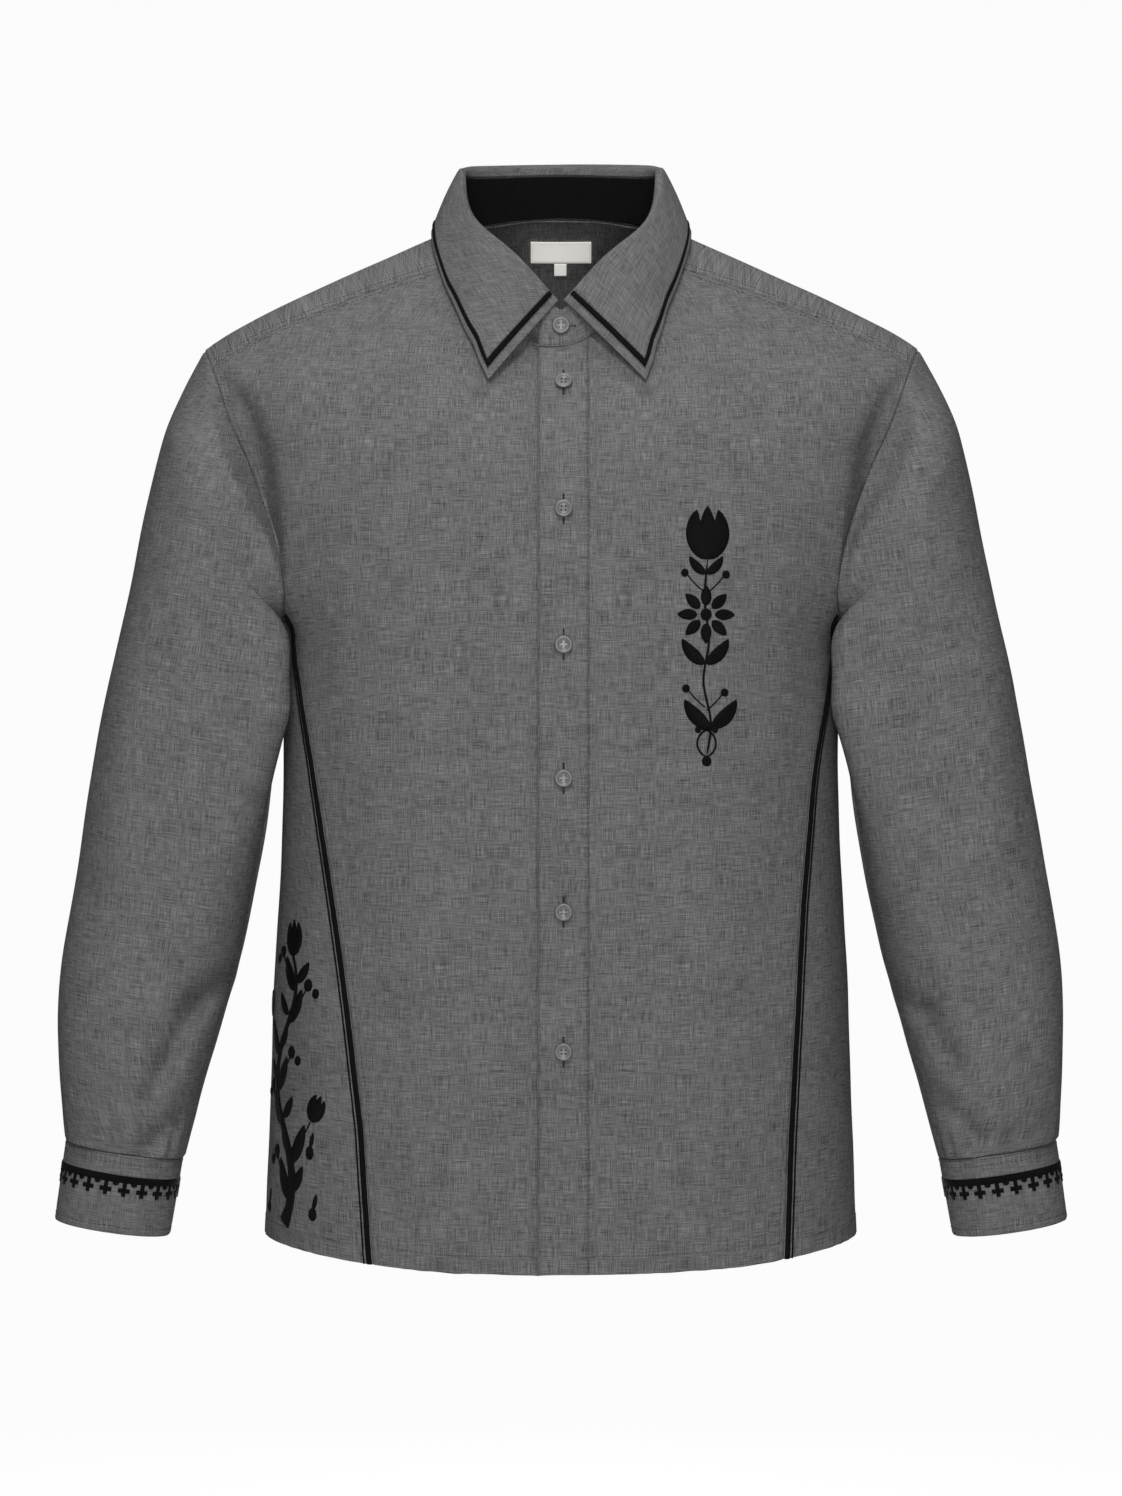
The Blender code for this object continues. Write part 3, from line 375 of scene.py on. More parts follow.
def stand_point(path, height, depth):
    """Point of the collar stand; the path angle runs once round from the left front end."""
    foot = along(BODY, np.full(np.shape(path), NECK_LEVEL))
    ring = foot + (np.asarray(STAND_TOP) - foot) * height[..., None]
    angle = np.radians(path)
    point = ring_point(ring, angle)
    front = np.where(np.cos(angle) > 0, height, 0.0)
    wave = np.abs(np.sin(angle)) * np.cos(angle) * np.cos(2.0 * angle)
    point[..., 2] += 4.0 * STAND_WAVE * wave * front
    full = np.sin(2.0 * angle) ** 2 * STAND_FULL * front
    point[..., :2] *= (1.0 + full)[..., None]
    neck = body_form(angle, np.full(angle.shape, NECK_LEVEL))
    below = body_form(angle, np.full(angle.shape, NECK_LEVEL - 0.1))
    dip = NECK_DIP * smooth(-path / 14.0) * (1.0 - 0.8 * height)
    point = point + unit(neck - below) * (NECK_GAP - dip)[..., None]
    along_y = np.where(np.cos(angle) > 0, ring[..., 1], ring[..., 2])
    out = unit(np.stack([point[..., 0] / ring[..., 0] ** 2, point[..., 1] / along_y ** 2], axis=-1))
    wind = (STAND_WALL + FACING_WALL + 3.5 * SEAM_GAP) * smooth((path - 300.0) / 42.0)
    point[..., :2] -= out * (depth + wind)[..., None]
    return point


def leaf_point(path, row):
    """Upper face of the collar leaf; rows run from the stand (0) over the roll to the edge (6)."""
    folded = np.where(path > 180.0, 360.0 - path, path)
    side = np.where(path > 180.0, -1.0, 1.0)
    marks = [line[0] for line in LEAF]
    place = np.interp(folded, marks, range(len(marks)))
    line = along(LEAF, place)
    rise = line[..., 1]
    top = np.ones(path.shape)
    foot = stand_point(path, top, 0.0)
    out = unit(foot - stand_point(path, top, 0.0019))
    rim = unit(stand_point(path + 1.0, top, 0.0) - stand_point(path - 1.0, top, 0.0))
    up = np.array([0.0, 0.0, 1.0])
    up = unit(up - rim * np.sum(up * rim, axis=-1, keepdims=True))
    angle = np.radians(line[..., 2])
    edge = body_form(angle, line[..., 3])
    edge = edge + normal_of(body_form, angle, line[..., 3], 0.004, 0.02) * LEAF_EDGE_LIFT
    edge = edge * np.stack([side, np.ones_like(side), np.ones_like(side)], axis=-1)
    edge[..., 0] += LEAF_LEAN * (1.0 - smooth(folded / 60.0))
    base = foot + up * LEAF_GAP
    high = rise[..., None] * up
    knots = [
        base - out * 0.0019,
        base - out * 0.0020 + high * 0.62,
        base + out * 0.0011 + high,
        base + out * 0.0044 + high * 0.50,
    ]
    fall = edge - knots[3]
    lean = unit(np.cross(np.cross(fall, out), fall))
    lean = lean * np.sign(np.sum(lean * out, axis=-1, keepdims=True))
    knots.append(knots[3] + fall * 0.36 + lean * LEAF_BULGE)
    knots.append(knots[3] + fall * 0.70 + lean * LEAF_BULGE * 0.8)
    knots.append(edge)
    stack = np.stack(knots, axis=0)
    near, part = near_rows(row, len(knots) - 1)
    picked = [np.take_along_axis(stack, index[None, ..., None], axis=0)[0] for index in near]
    return spline(*picked, part)


def leaf_normal(path, row):
    return -normal_of(leaf_point, path, np.clip(row, 0.02, 5.98), 0.8, 0.02)


def cuff_point(side, step, drop, depth):
    """Point of a cuff; the path winds once round and laps over itself at the back."""
    upper, lower = np.asarray(CUFF)
    ring = upper + (lower - upper) * drop[..., None]
    turn = np.radians(step)
    point = oval(ring, turn, 0.95, ring[..., 5])
    level = np.zeros(turn.shape)
    slant = unit(np.stack([ring[..., 0] - ring[..., 2], level, ring[..., 1] - ring[..., 3]], axis=-1))
    outward = unit(slant * np.cos(turn)[..., None] - np.array([0.0, 1.0, 0.0]) * np.sin(turn)[..., None])
    wind = (CUFF_WALL + 0.0005) * smooth((step - 200.0) / 60.0)
    point = point - outward * (depth + wind)[..., None]
    return point * np.array([side, 1.0, 1.0])


def side_seam(side, level):
    """Body angles of the front and back seam of a side panel, for an array of ring numbers."""
    marks = [row[0] for row in SIDE_SEAMS]
    column = 2 if side > 0 else 1
    front_angle = angle_at(np.interp(level, marks, [row[column] for row in SIDE_SEAMS]), level)
    back_angle = angle_at(np.interp(level, marks, [row[3] for row in SIDE_SEAMS]), level, back=True)
    blend = smooth((level - 5.6) / (SIDE_TOP - 5.6))
    front_angle = front_angle + (arm_place(ARM_SIDE)[0] - front_angle) * blend
    back_angle = back_angle + (arm_place(-ARM_SIDE)[0] - back_angle) * blend
    return front_angle, back_angle


SIDE_TOP = float(arm_place(ARM_SIDE)[1])
YOKE_NECK_ANGLE = 57.5

# Grid spacing, and the lengths of cloth that the grids are spaced for
GRID = 0.0042
SIDE_HEIGHT = 0.452
SIDE_WIDTH = 0.30
FRONT_WIDTH = 0.185
BACK_WIDTH = 0.50
SHOULDER_LENGTH = 0.175
YOKE_DEPTH = 0.19
LEAF_LENGTH = 0.20
SEAM_STEPS = (0.0, 0.0007, 0.0016, 0.0029, 0.0045, 0.0065, 0.0090)
PLACKET_RISE = 0.0009

# Stitch distances from an edge, and heights of the puckers beside it
HEM_FOLD = 0.0125
SEAM_STITCH = 0.0050
NO_STITCH = 0.0
HEM_PUCKER = 0.0005
STITCHED_PUCKER = 0.00022
SEAM_PUCKER = 0.0002
VALLEY_DEPTH = 0.00085
VALLEY_HALF = 0.0014
FURROW_DEPTH = 0.00022
FURROW_HALF = 0.0012
HEM_STEP = 0.00035
HEM_PITCH = 0.017


def marks_across(length, dense_start=True, dense_end=True):
    """Shares of a length for grid lines, closer together beside a seam."""
    start = [step for step in SEAM_STEPS if dense_start] or [0.0]
    end = [length - step for step in reversed(SEAM_STEPS) if dense_end] or [length]
    count = max(2, int(round((end[0] - start[-1]) / GRID)) + 1)
    middle = np.linspace(start[-1], end[0], count)
    return np.concatenate([start[:-1], middle, end[1:]]) / length


def ring_lengths(first, second, level, count=61):
    """Angles and lengths along a stretch of each body ring, one row a ring."""
    angles = first[:, None] + (second - first)[:, None] * np.linspace(0.0, 1.0, count)
    points = body_form(angles, np.broadcast_to(level[:, None], angles.shape))
    return angles, lengths_along(points, 1)


def spread_rows(first, second, level, shares):
    """Angles at the given shares of each ring's stretch, by length."""
    angles, lengths = ring_lengths(first, second, level)
    rows = [np.interp(shares * line[-1], line, turn) for turn, line in zip(angles, lengths)]
    return np.array(rows)


def row_marks(back, side):
    """Ring number, outer angle and armhole step of each row, from the hem up."""
    lower = marks_across(SIDE_HEIGHT, True, False) * SIDE_TOP
    low_angle = side_seam(side, lower)[1 if back else 0]
    top = ARM_YOKE_BACK if back else ARM_YOKE_FRONT
    count = 50 if back else 58
    steps = np.linspace(ARM_SIDE, top, count)[1:]
    sign = -1.0 if back else 1.0
    arm_angle, arm_level = arm_place(sign * steps)
    level = np.concatenate([lower, arm_level])
    angle = np.concatenate([low_angle, arm_angle])
    step = np.concatenate([np.full(len(lower), np.nan), sign * steps])
    if not back:
        share = marks_across(SHOULDER_LENGTH, False, True)[1:]
        last_angle, last_level = arm_place(ARM_YOKE_FRONT)
        level = np.concatenate([level, last_level + (NECK_LEVEL - last_level) * share])
        angle = np.concatenate([angle, last_angle + (math.radians(YOKE_NECK_ANGLE) - last_angle) * share])
        step = np.concatenate([step, np.full(len(share), np.nan)])
    return level, angle, step


def arm_normals(side, steps):
    angle, level = arm_place(steps)
    one = body_normal(side * angle, level)
    two = sleeve_normal(side, steps, np.full(len(steps), 0.15))
    return unit(one + two)


def lengths_along(points, axis):
    """Length from the first column (axis 1) or the first row (axis 0) to each point of a grid."""
    steps = np.linalg.norm(np.diff(points, axis=axis), axis=2)
    start = np.zeros_like(steps.take([0], axis=axis))
    return np.concatenate([start, np.cumsum(steps, axis=axis)], axis=axis)


def at_length(marks, length, points):
    """Points of a line at the given lengths."""
    return np.stack([np.interp(marks, length, points[:, i]) for i in range(3)], axis=-1)


def resample(points, normals, spacing):
    """A line's points and facings again, at an even spacing."""
    length = lengths_along(points[None], 1)[0]
    marks = np.linspace(0.0, length[-1], max(2, int(length[-1] / spacing) + 1))
    return at_length(marks, length, points), unit(at_length(marks, length, normals))


def inset_line(points, normals, edge, distance, trim=0.0):
    """The line at a distance from one edge of a grid of cloth, trimmed at both ends."""
    if edge.endswith("row"):
        points = points.transpose(1, 0, 2)
        normals = normals.transpose(1, 0, 2)
    if edge.startswith("last"):
        points = points[:, ::-1]
        normals = normals[:, ::-1]
    across = lengths_along(points, 1)
    where = np.array([at_length(distance, line, point) for line, point in zip(across, points)])
    facing = unit(np.array([at_length(distance, line, normal) for line, normal in zip(across, normals)]))
    length = lengths_along(where[None], 1)[0]
    keep = (length >= trim) & (length <= length[-1] - trim)
    return where[keep], facing[keep]


def circle(first, second, count, start=0.0):
    """Points of a circle of radius 1 m that two directions span."""
    turn = np.linspace(0.0, 2.0 * math.pi, count + 1)[:-1] + start
    return first * np.cos(turn)[:, None] + second * np.sin(turn)[:, None]


def wobble(along_edge, seed, pitch=0.011):
    """Uneven puckers along a seam."""
    phase = along_edge / pitch * 2.0 * math.pi
    size = 0.6 + 0.4 * np.sin(phase * 0.17 + 2.0 * seed)
    return size * np.sin(phase + 1.7 * np.sin(phase * 0.31 + seed) + seed)


def relief(points, normals, seams):
    """Seam valleys, stitch furrows, puckers and hem folds, worked into a grid of cloth.

    seams: edge name to (stitch distance, pucker height); a hem has a fold instead of a valley.
    """
    across = lengths_along(points, 1)
    up = lengths_along(points, 0)
    reach = {
        "first_column": (across, up),
        "last_column": (across[:, -1:] - across, up),
        "first_row": (up, across),
        "last_row": (up[-1:] - up, across),
    }
    height = np.zeros(points.shape[:2])
    for number, (edge, (stitch, pucker)) in enumerate(seams.items()):
        seed = DRAPE_SEED + 1.3 * number
        near, run = reach[edge.replace("hem_", "")]
        if edge.startswith("hem_"):
            height += HEM_STEP * smooth((stitch - near) / 0.0015 + 0.5)
            height += pucker * wobble(run, seed, HEM_PITCH) * bell(near, 0.014)
        else:
            height -= VALLEY_DEPTH * bell(near, VALLEY_HALF)
            height += pucker * wobble(run, seed) * bell(near, 0.010)
        if stitch:
            height -= FURROW_DEPTH * bell(near - stitch, FURROW_HALF)
    return points + normals * height[..., None]


def drape(points, size=0.0006, seed=DRAPE_SEED):
    """Low uneven swells of cloth that hangs freely."""
    x, y, z = points[..., 0], points[..., 1], points[..., 2]
    turn = np.arctan2(x, -y)
    one = np.sin(31.0 * x + 11.0 * z + seed) * np.sin(17.0 * z - 9.0 * y + 2.0 * seed)
    two = np.sin(6.0 * turn + 14.0 * z + 3.0 * seed) * np.sin(23.0 * z + seed)
    three = np.sin(73.0 * x - 41.0 * z + 5.0 * y + seed) * np.sin(59.0 * z + 37.0 * x)
    return size * (one + 0.8 * two + 0.3 * three)


# Hollows beside the armholes, between two edge lines, for the wearer's right and left
# z, lower x, higher x, depth
ARMHOLE_HOLLOWS = {
    -1: (
        (-0.095, -0.2530, -0.2380, 0.0000),
        (-0.106, -0.2510, -0.2310, 0.0040),
        (-0.121, -0.2495, -0.2205, 0.0090),
        (-0.138, -0.2475, -0.2100, 0.0130),
        (-0.167, -0.2385, -0.2005, 0.0170),
        (-0.190, -0.2265, -0.1965, 0.0180),
        (-0.213, -0.2135, -0.1950, 0.0160),
        (-0.229, -0.2040, -0.1935, 0.0110),
        (-0.245, -0.2010, -0.1920, 0.0030),
        (-0.262, -0.2000, -0.1910, 0.0000),
    ),
    1: (
        (-0.095, 0.2390, 0.2530, 0.0000),
        (-0.108, 0.2320, 0.2500, 0.0034),
        (-0.123, 0.2215, 0.2490, 0.0080),
        (-0.142, 0.2130, 0.2510, 0.0130),
        (-0.164, 0.2050, 0.2465, 0.0170),
        (-0.191, 0.2010, 0.2340, 0.0180),
        (-0.212, 0.1985, 0.2175, 0.0160),
        (-0.232, 0.1965, 0.2055, 0.0110),
        (-0.248, 0.1950, 0.2030, 0.0030),
        (-0.265, 0.1940, 0.2020, 0.0000),
    ),
}

# Creases pressed in along y: both ends as (x, z), depth, half width; a ridge has a negative depth
FRONT_CREASES = (
    ((-0.2920, -0.6180), (-0.2783, -0.5958), 0.0026, 0.0075),
    ((-0.2783, -0.5958), (-0.2566, -0.5551), 0.0110, 0.0085),
    ((-0.2566, -0.5551), (-0.2350, -0.5400), 0.0130, 0.0085),
    ((-0.2896, -0.6507), (-0.2680, -0.6340), 0.0080, 0.0080),
    ((-0.3030, -0.6300), (-0.2960, -0.6100), -0.0022, 0.0065),
    ((-0.2460, -0.4280), (-0.2260, -0.3500), 0.0034, 0.0110),
    ((-0.3150, -0.2500), (-0.3080, -0.4000), -0.0026, 0.0160),
    ((-0.2820, -0.2700), (-0.2860, -0.4700), 0.0026, 0.0170),
    ((-0.2480, -0.2450), (-0.2330, -0.3300), -0.0030, 0.0090),
    ((0.2860, -0.6120), (0.2730, -0.5900), 0.0026, 0.0075),
    ((0.2730, -0.5900), (0.2560, -0.5600), 0.0080, 0.0090),
    ((0.2560, -0.5600), (0.2380, -0.5480), 0.0080, 0.0085),
    ((0.2920, -0.6450), (0.2700, -0.6270), 0.0075, 0.0080),
    ((0.3080, -0.6380), (0.3000, -0.6150), -0.0022, 0.0065),
    ((0.2480, -0.4050), (0.2290, -0.3300), 0.0034, 0.0110),
    ((0.3140, -0.2400), (0.3080, -0.3800), -0.0026, 0.0160),
    ((0.2830, -0.2600), (0.2850, -0.4400), 0.0026, 0.0170),
    ((0.2520, -0.2400), (0.2350, -0.3350), -0.0030, 0.0090),
    ((-0.1740, -0.2600), (-0.1560, -0.4300), 0.0018, 0.0140),
    ((0.1780, -0.2500), (0.1600, -0.4400), 0.0018, 0.0150),
    ((-0.0600, -0.1450), (-0.0250, -0.1250), 0.0012, 0.0060),
    ((0.0520, -0.1420), (0.0260, -0.1200), 0.0012, 0.0055),
    ((-0.0450, -0.1750), (-0.0220, -0.1400), 0.0010, 0.0055),
    ((0.0230, -0.1300), (0.0260, -0.1640), 0.0010, 0.0035),
    ((-0.1400, -0.6300), (-0.0900, -0.7300), 0.0014, 0.0160),
    ((0.0700, -0.6000), (0.0900, -0.7300), 0.0016, 0.0180),
)


# The same on the back, which the photo doesn't show
BACK_CREASES = (
    ((-0.1500, -0.1000), (-0.1350, -0.3300), 0.0030, 0.0150),
    ((0.1480, -0.0950), (0.1400, -0.3000), 0.0026, 0.0160),
    ((-0.0300, -0.2200), (-0.0450, -0.5200), 0.0018, 0.0220),
    ((0.0500, -0.3000), (0.0380, -0.6200), 0.0020, 0.0200),
    ((-0.1300, -0.5000), (-0.1100, -0.7100), 0.0024, 0.0180),
    ((0.1350, -0.5400), (0.1180, -0.7200), 0.0022, 0.0170),
    ((-0.2700, -0.5900), (-0.2460, -0.5450), 0.0070, 0.0090),
    ((-0.2880, -0.6480), (-0.2680, -0.6300), 0.0060, 0.0080),
    ((0.2740, -0.6000), (0.2480, -0.5580), 0.0064, 0.0090),
    ((0.2900, -0.6420), (0.2720, -0.6220), 0.0060, 0.0085),
    ((-0.2480, -0.4200), (-0.2280, -0.3500), 0.0032, 0.0120),
    ((0.2500, -0.4350), (0.2280, -0.3650), 0.0034, 0.0120),
    ((-0.2840, -0.2700), (-0.2880, -0.4600), 0.0024, 0.0170),
    ((0.2860, -0.2600), (0.2870, -0.4400), 0.0026, 0.0160),
)


def crease_depth(x, z, creases):
    depth = np.zeros(x.shape)
    for start, end, deep, half in creases:
        way = np.array(end) - np.array(start)
        length = math.hypot(*way)
        way = way / length
        run = (x - start[0]) * way[0] + (z - start[1]) * way[1]
        off = (x - start[0]) * -way[1] + (z - start[1]) * way[0]
        off = off + 0.0022 * np.sin(run * 55.0 + 40.0 * start[0])
        beyond = np.maximum(0.0, np.maximum(-run, run - length))
        fade = bell(beyond, 0.35 * length)
        depth += deep * bell(off, half) * fade
    return depth


def hollow_depth(x, z):
    depth = np.zeros(x.shape)
    for side, rows in ARMHOLE_HOLLOWS.items():
        table = np.array(rows)[::-1]
        low = np.interp(z, table[:, 0], table[:, 1])
        high = np.interp(z, table[:, 0], table[:, 2])
        deep = np.interp(z, table[:, 0], table[:, 3])
        body_wall = np.minimum(0.012, 0.50 * (high - low))
        sleeve_wall = np.minimum(0.0135, 0.50 * (high - low))
        low_wall, high_wall = (sleeve_wall, body_wall) if side < 0 else (body_wall, sleeve_wall)
        from_low = np.clip((x - low) / low_wall, 0.0, 1.0)
        from_high = np.clip((high - x) / high_wall, 0.0, 1.0)
        depth += deep * from_low * (1.3 - 0.3 * from_low) * from_high * (1.3 - 0.3 * from_high)
    return depth


def fold_in(points):
    """Presses the folds into the cloth, along y; every piece shares this one field."""
    x, y, z = points[..., 0], points[..., 1], points[..., 2]
    hollow = hollow_depth(x, z)
    front = (hollow + crease_depth(x, z, FRONT_CREASES)) * smooth((0.010 - y) / 0.030)
    back = (0.4 * hollow + crease_depth(x, z, BACK_CREASES)) * smooth((y - 0.015) / 0.030)
    moved = points.copy()
    moved[..., 1] += front - back
    return moved


# Building meshes

def grid_faces(rows, columns, closed):
    """Faces of a thin shell: outer grid, inner grid and the rims between them."""
    count = rows * columns
    index = np.arange(count).reshape(rows, columns)
    if closed:
        index = np.concatenate([index, index[:, :1]], axis=1)
    corners = (index[:-1, :-1], index[:-1, 1:], index[1:, 1:], index[1:, :-1])
    outer = np.stack(corners, -1).reshape(-1, 4)
    rims = [(index[0, :-1], index[0, 1:]), (index[-1, 1:], index[-1, :-1])]
    if not closed:
        rims += [(index[1:, 0], index[:-1, 0]), (index[:-1, -1], index[1:, -1])]
    walls = [np.stack([start, start + count, end + count, end], 1) for start, end in rims]
    return np.concatenate([outer, outer[:, [0, 3, 2, 1]] + count, *walls])


class Batch:
    """Collects shells and makes them one mesh, with cloth coordinates in metres for the weave."""

    def __init__(self):
        self.points = []
        self.faces = []
        self.weave = []
        self.smooth = []
        self.count = 0

    def add(self, outer, inner, weave=None, closed=False):
        rows, columns = outer.shape[:2]
        points = np.concatenate([outer.reshape(-1, 3), inner.reshape(-1, 3)])
        faces = grid_faces(rows, columns, closed)
        first, second, third, fourth = np.moveaxis(points[faces] - points.mean(axis=0), 1, 0)
        if np.sum(first * (np.cross(second, third) + np.cross(third, fourth))) < 0.0:
            faces = faces[:, ::-1]
        if weave is None:
            across = lengths_along(outer, 1)
            up = lengths_along(outer, 0)
            middle_column = up[:, up.shape[1] // 2][:, None]
            weave = np.stack([across, 0.5 * up + 0.5 * middle_column], axis=-1)
        values = np.tile(weave.reshape(-1, 2), (2, 1))[faces]
        if closed:
            index = faces % (rows * columns) % columns
            wraps = (index.max(axis=1) == columns - 1) & (index.min(axis=1) == 0)
            step = np.linalg.norm(outer[:, 0] - outer[:, -1], axis=1).mean()
            width = (weave[:, -1, 0] - weave[:, 0, 0]).mean() + step
            values[..., 0] += width * (wraps[:, None] & (index == 0))
        span = columns if closed else columns - 1
        self.keep(points, faces, values, np.arange(len(faces)) < 2 * (rows - 1) * span)

    def tube(self, rings, length):
        """A capped tube of rings, for a thread or a stitch."""
        rows, columns = rings.shape[:2]
        row, column = np.divmod(np.arange((rows - 1) * columns), columns)
        here = row * columns + column
        beside = row * columns + (column + 1) % columns
        sides = np.stack([here, beside, beside + columns, here + columns], 1)
        low = np.arange(columns // 2 - 1)
        start_cap = np.stack([columns - 1 - low, columns - 2 - low, low + 1, low], 1)
        end_cap = (rows - 1) * columns + start_cap[:, ::-1]
        faces = np.concatenate([sides, np.stack([start_cap, end_cap], 1).reshape(-1, 4)])
        share = np.linspace(0.0, length, rows)
        around = np.linspace(0.0, 0.001, columns)
        weave = np.stack(np.meshgrid(share, around, indexing="ij"), axis=-1).reshape(-1, 2)
        self.keep(rings.reshape(-1, 3), faces, weave[faces], np.ones(len(faces), bool))

    def keep(self, points, faces, weave, smooth_faces):
        self.smooth.append(smooth_faces)
        self.points.append(points)
        self.faces.append(faces + self.count)
        self.weave.append(weave.reshape(-1, 2))
        self.count += len(points)

    def piece(self, name, material, slot, solid=None):
        """The piece in the scene; solid names the CAD solid that it stands for."""
        points = np.concatenate(self.points)
        faces = np.concatenate(self.faces)
        weave = np.concatenate(self.weave)
        mesh = bpy.data.meshes.new(name)
        mesh.vertices.add(len(points))
        mesh.vertices.foreach_set("co", points.ravel())
        mesh.loops.add(faces.size)
        mesh.loops.foreach_set("vertex_index", faces.ravel())
        mesh.polygons.add(len(faces))
        mesh.polygons.foreach_set("loop_start", np.arange(len(faces)) * 4)
        mesh.update(calc_edges=True)
        mesh.polygons.foreach_set("use_smooth", np.concatenate(self.smooth))
        layer = mesh.attributes.new("weave", "FLOAT2", "CORNER")
        layer.data.foreach_set("vector", weave.ravel())
        mesh.materials.append(material)
        piece = bpy.data.objects.new(name, mesh)
        bpy.context.scene.collection.objects.link(piece)
        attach(piece, "root")
        if solid:
            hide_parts(solid)
        return piece


def draw_in(grid, edges, distance):
    """Moves the named edges of a grid a little way in along the cloth."""
    grid = grid.copy()
    if "first_row" in edges:
        grid[0] += unit(grid[1] - grid[0]) * distance
    if "last_row" in edges:
        grid[-1] += unit(grid[-2] - grid[-1]) * distance
    if "first_column" in edges:
        grid[:, 0] += unit(grid[:, 1] - grid[:, 0]) * distance
    if "last_column" in edges:
        grid[:, -1] += unit(grid[:, -2] - grid[:, -1]) * distance
    return grid


# Materials


def add_node(tree, kind, inputs=None, **settings):
    node = tree.nodes.new(kind)
    for key, value in settings.items():
        setattr(node, key, value)
    for key, value in (inputs or {}).items():
        if hasattr(value, "links"):
            tree.links.new(value, node.inputs[key])
        else:
            node.inputs[key].default_value = value
    return node


def maths(tree, operation, first, second=0.0, third=None):
    inputs = {0: first, 1: second}
    if third is not None:
        inputs[2] = third
    return add_node(tree, "ShaderNodeMath", inputs, operation=operation).outputs[0]


def ramp(tree, value, low, high):
    """0 below low and 1 above high."""
    return add_node(
        tree, "ShaderNodeMapRange", {"Value": value, "From Min": low, "From Max": high}, clamp=True
    ).outputs["Result"]


def vector_maths(tree, operation, inputs):
    return add_node(tree, "ShaderNodeVectorMath", inputs, operation=operation).outputs[0]


def noise(tree, vector, scale, detail, **inputs):
    inputs = {"Vector": vector, "Scale": scale, "Detail": detail, **inputs}
    return add_node(tree, "ShaderNodeTexNoise", inputs).outputs["Fac"]


def streaks(tree, weave, across, along_it, seed, detail=2.0):
    """Noise drawn out into threads."""
    scaled = vector_maths(tree, "MULTIPLY", {0: weave, 1: (1.0 / across, 1.0 / along_it, 1.0)})
    moved = vector_maths(tree, "ADD", {0: scaled, 1: (seed, seed * 1.7, seed)})
    return noise(tree, moved, 1.0, detail, Roughness=0.6)


def new_material(name, gloss=0.5):
    material = bpy.data.materials.new(name)
    material.use_nodes = True
    tree = material.node_tree
    shader = tree.nodes["Principled BSDF"]
    shader.inputs["Specular IOR Level"].default_value = gloss
    weave = add_node(tree, "ShaderNodeAttribute", attribute_name="weave").outputs["Vector"]
    split = add_node(tree, "ShaderNodeSeparateXYZ", {0: weave})
    return material, tree, shader, weave, split.outputs


def paint(tree, shader, colour, factor):
    """The base colour, lighter or darker by a factor."""
    tree.links.new(vector_maths(tree, "SCALE", {0: colour, "Scale": factor}), shader.inputs["Base Color"])


def emboss(tree, shader, strength, distance, height):
    inputs = {"Strength": strength, "Distance": distance, "Height": height}
    tree.links.new(add_node(tree, "ShaderNodeBump", inputs).outputs[0], shader.inputs["Normal"])


def woven_material(name, colour, thread=0.00048, melange=1.0, slub=1.0, bump=1.0, rough=0.95, gloss=0.08):
    """Plain-woven cloth: two sets of uneven threads, slubs, and their relief."""
    material, tree, shader, weave, split = new_material(name, gloss)
    warp = streaks(tree, weave, 0.00040, 0.0115, 3.0)
    weft = streaks(tree, weave, 0.0135, 0.00040, 11.0)
    long_warp = streaks(tree, weave, 0.00075, 0.050, 23.0, 1.0)
    long_weft = streaks(tree, weave, 0.040, 0.00075, 31.0, 1.0)
    cloud = streaks(tree, weave, 0.030, 0.030, 43.0, 3.0)
    slub_warp = ramp(tree, streaks(tree, weave, 0.00075, 0.0095, 53.0, 1.0), 0.655, 0.76)
    slub_weft = ramp(tree, streaks(tree, weave, 0.0115, 0.00065, 61.0, 1.0), 0.64, 0.75)
    dark_weft = ramp(tree, streaks(tree, weave, 0.0090, 0.00075, 71.0, 1.0), 0.66, 0.78)
    waves = [maths(tree, "SINE", maths(tree, "MULTIPLY", axis, math.pi / thread)) for axis in split[:2]]
    checker = maths(tree, "MULTIPLY", *waves)
    threads = maths(tree, "ADD", warp, weft)
    tone = 1.0
    for value, share in (
        (maths(tree, "SUBTRACT", threads, 1.0), 0.95 * melange),
        (maths(tree, "SUBTRACT", maths(tree, "ADD", long_warp, long_weft), 1.0), 0.30 * melange),
        (maths(tree, "SUBTRACT", cloud, 0.5), 0.16 * melange),
        (slub_warp, 0.22 * slub),
        (slub_weft, 0.32 * slub),
        (dark_weft, -0.12 * slub),
        (checker, 0.10 * melange),
    ):
        tone = maths(tree, "MULTIPLY_ADD", value, share, tone)
    paint(tree, shader, colour, maths(tree, "MAXIMUM", tone, 0.25))
    lift = maths(tree, "MULTIPLY_ADD", checker, 0.35, maths(tree, "MULTIPLY", threads, 0.9))
    lift = maths(tree, "MULTIPLY_ADD", maths(tree, "ADD", slub_warp, slub_weft), 0.8 * slub, lift)
    emboss(tree, shader, 0.55 * bump, 0.00022, lift)
    tree.links.new(maths(tree, "MULTIPLY_ADD", cloud, 0.10, rough - 0.05), shader.inputs["Roughness"])
    return material


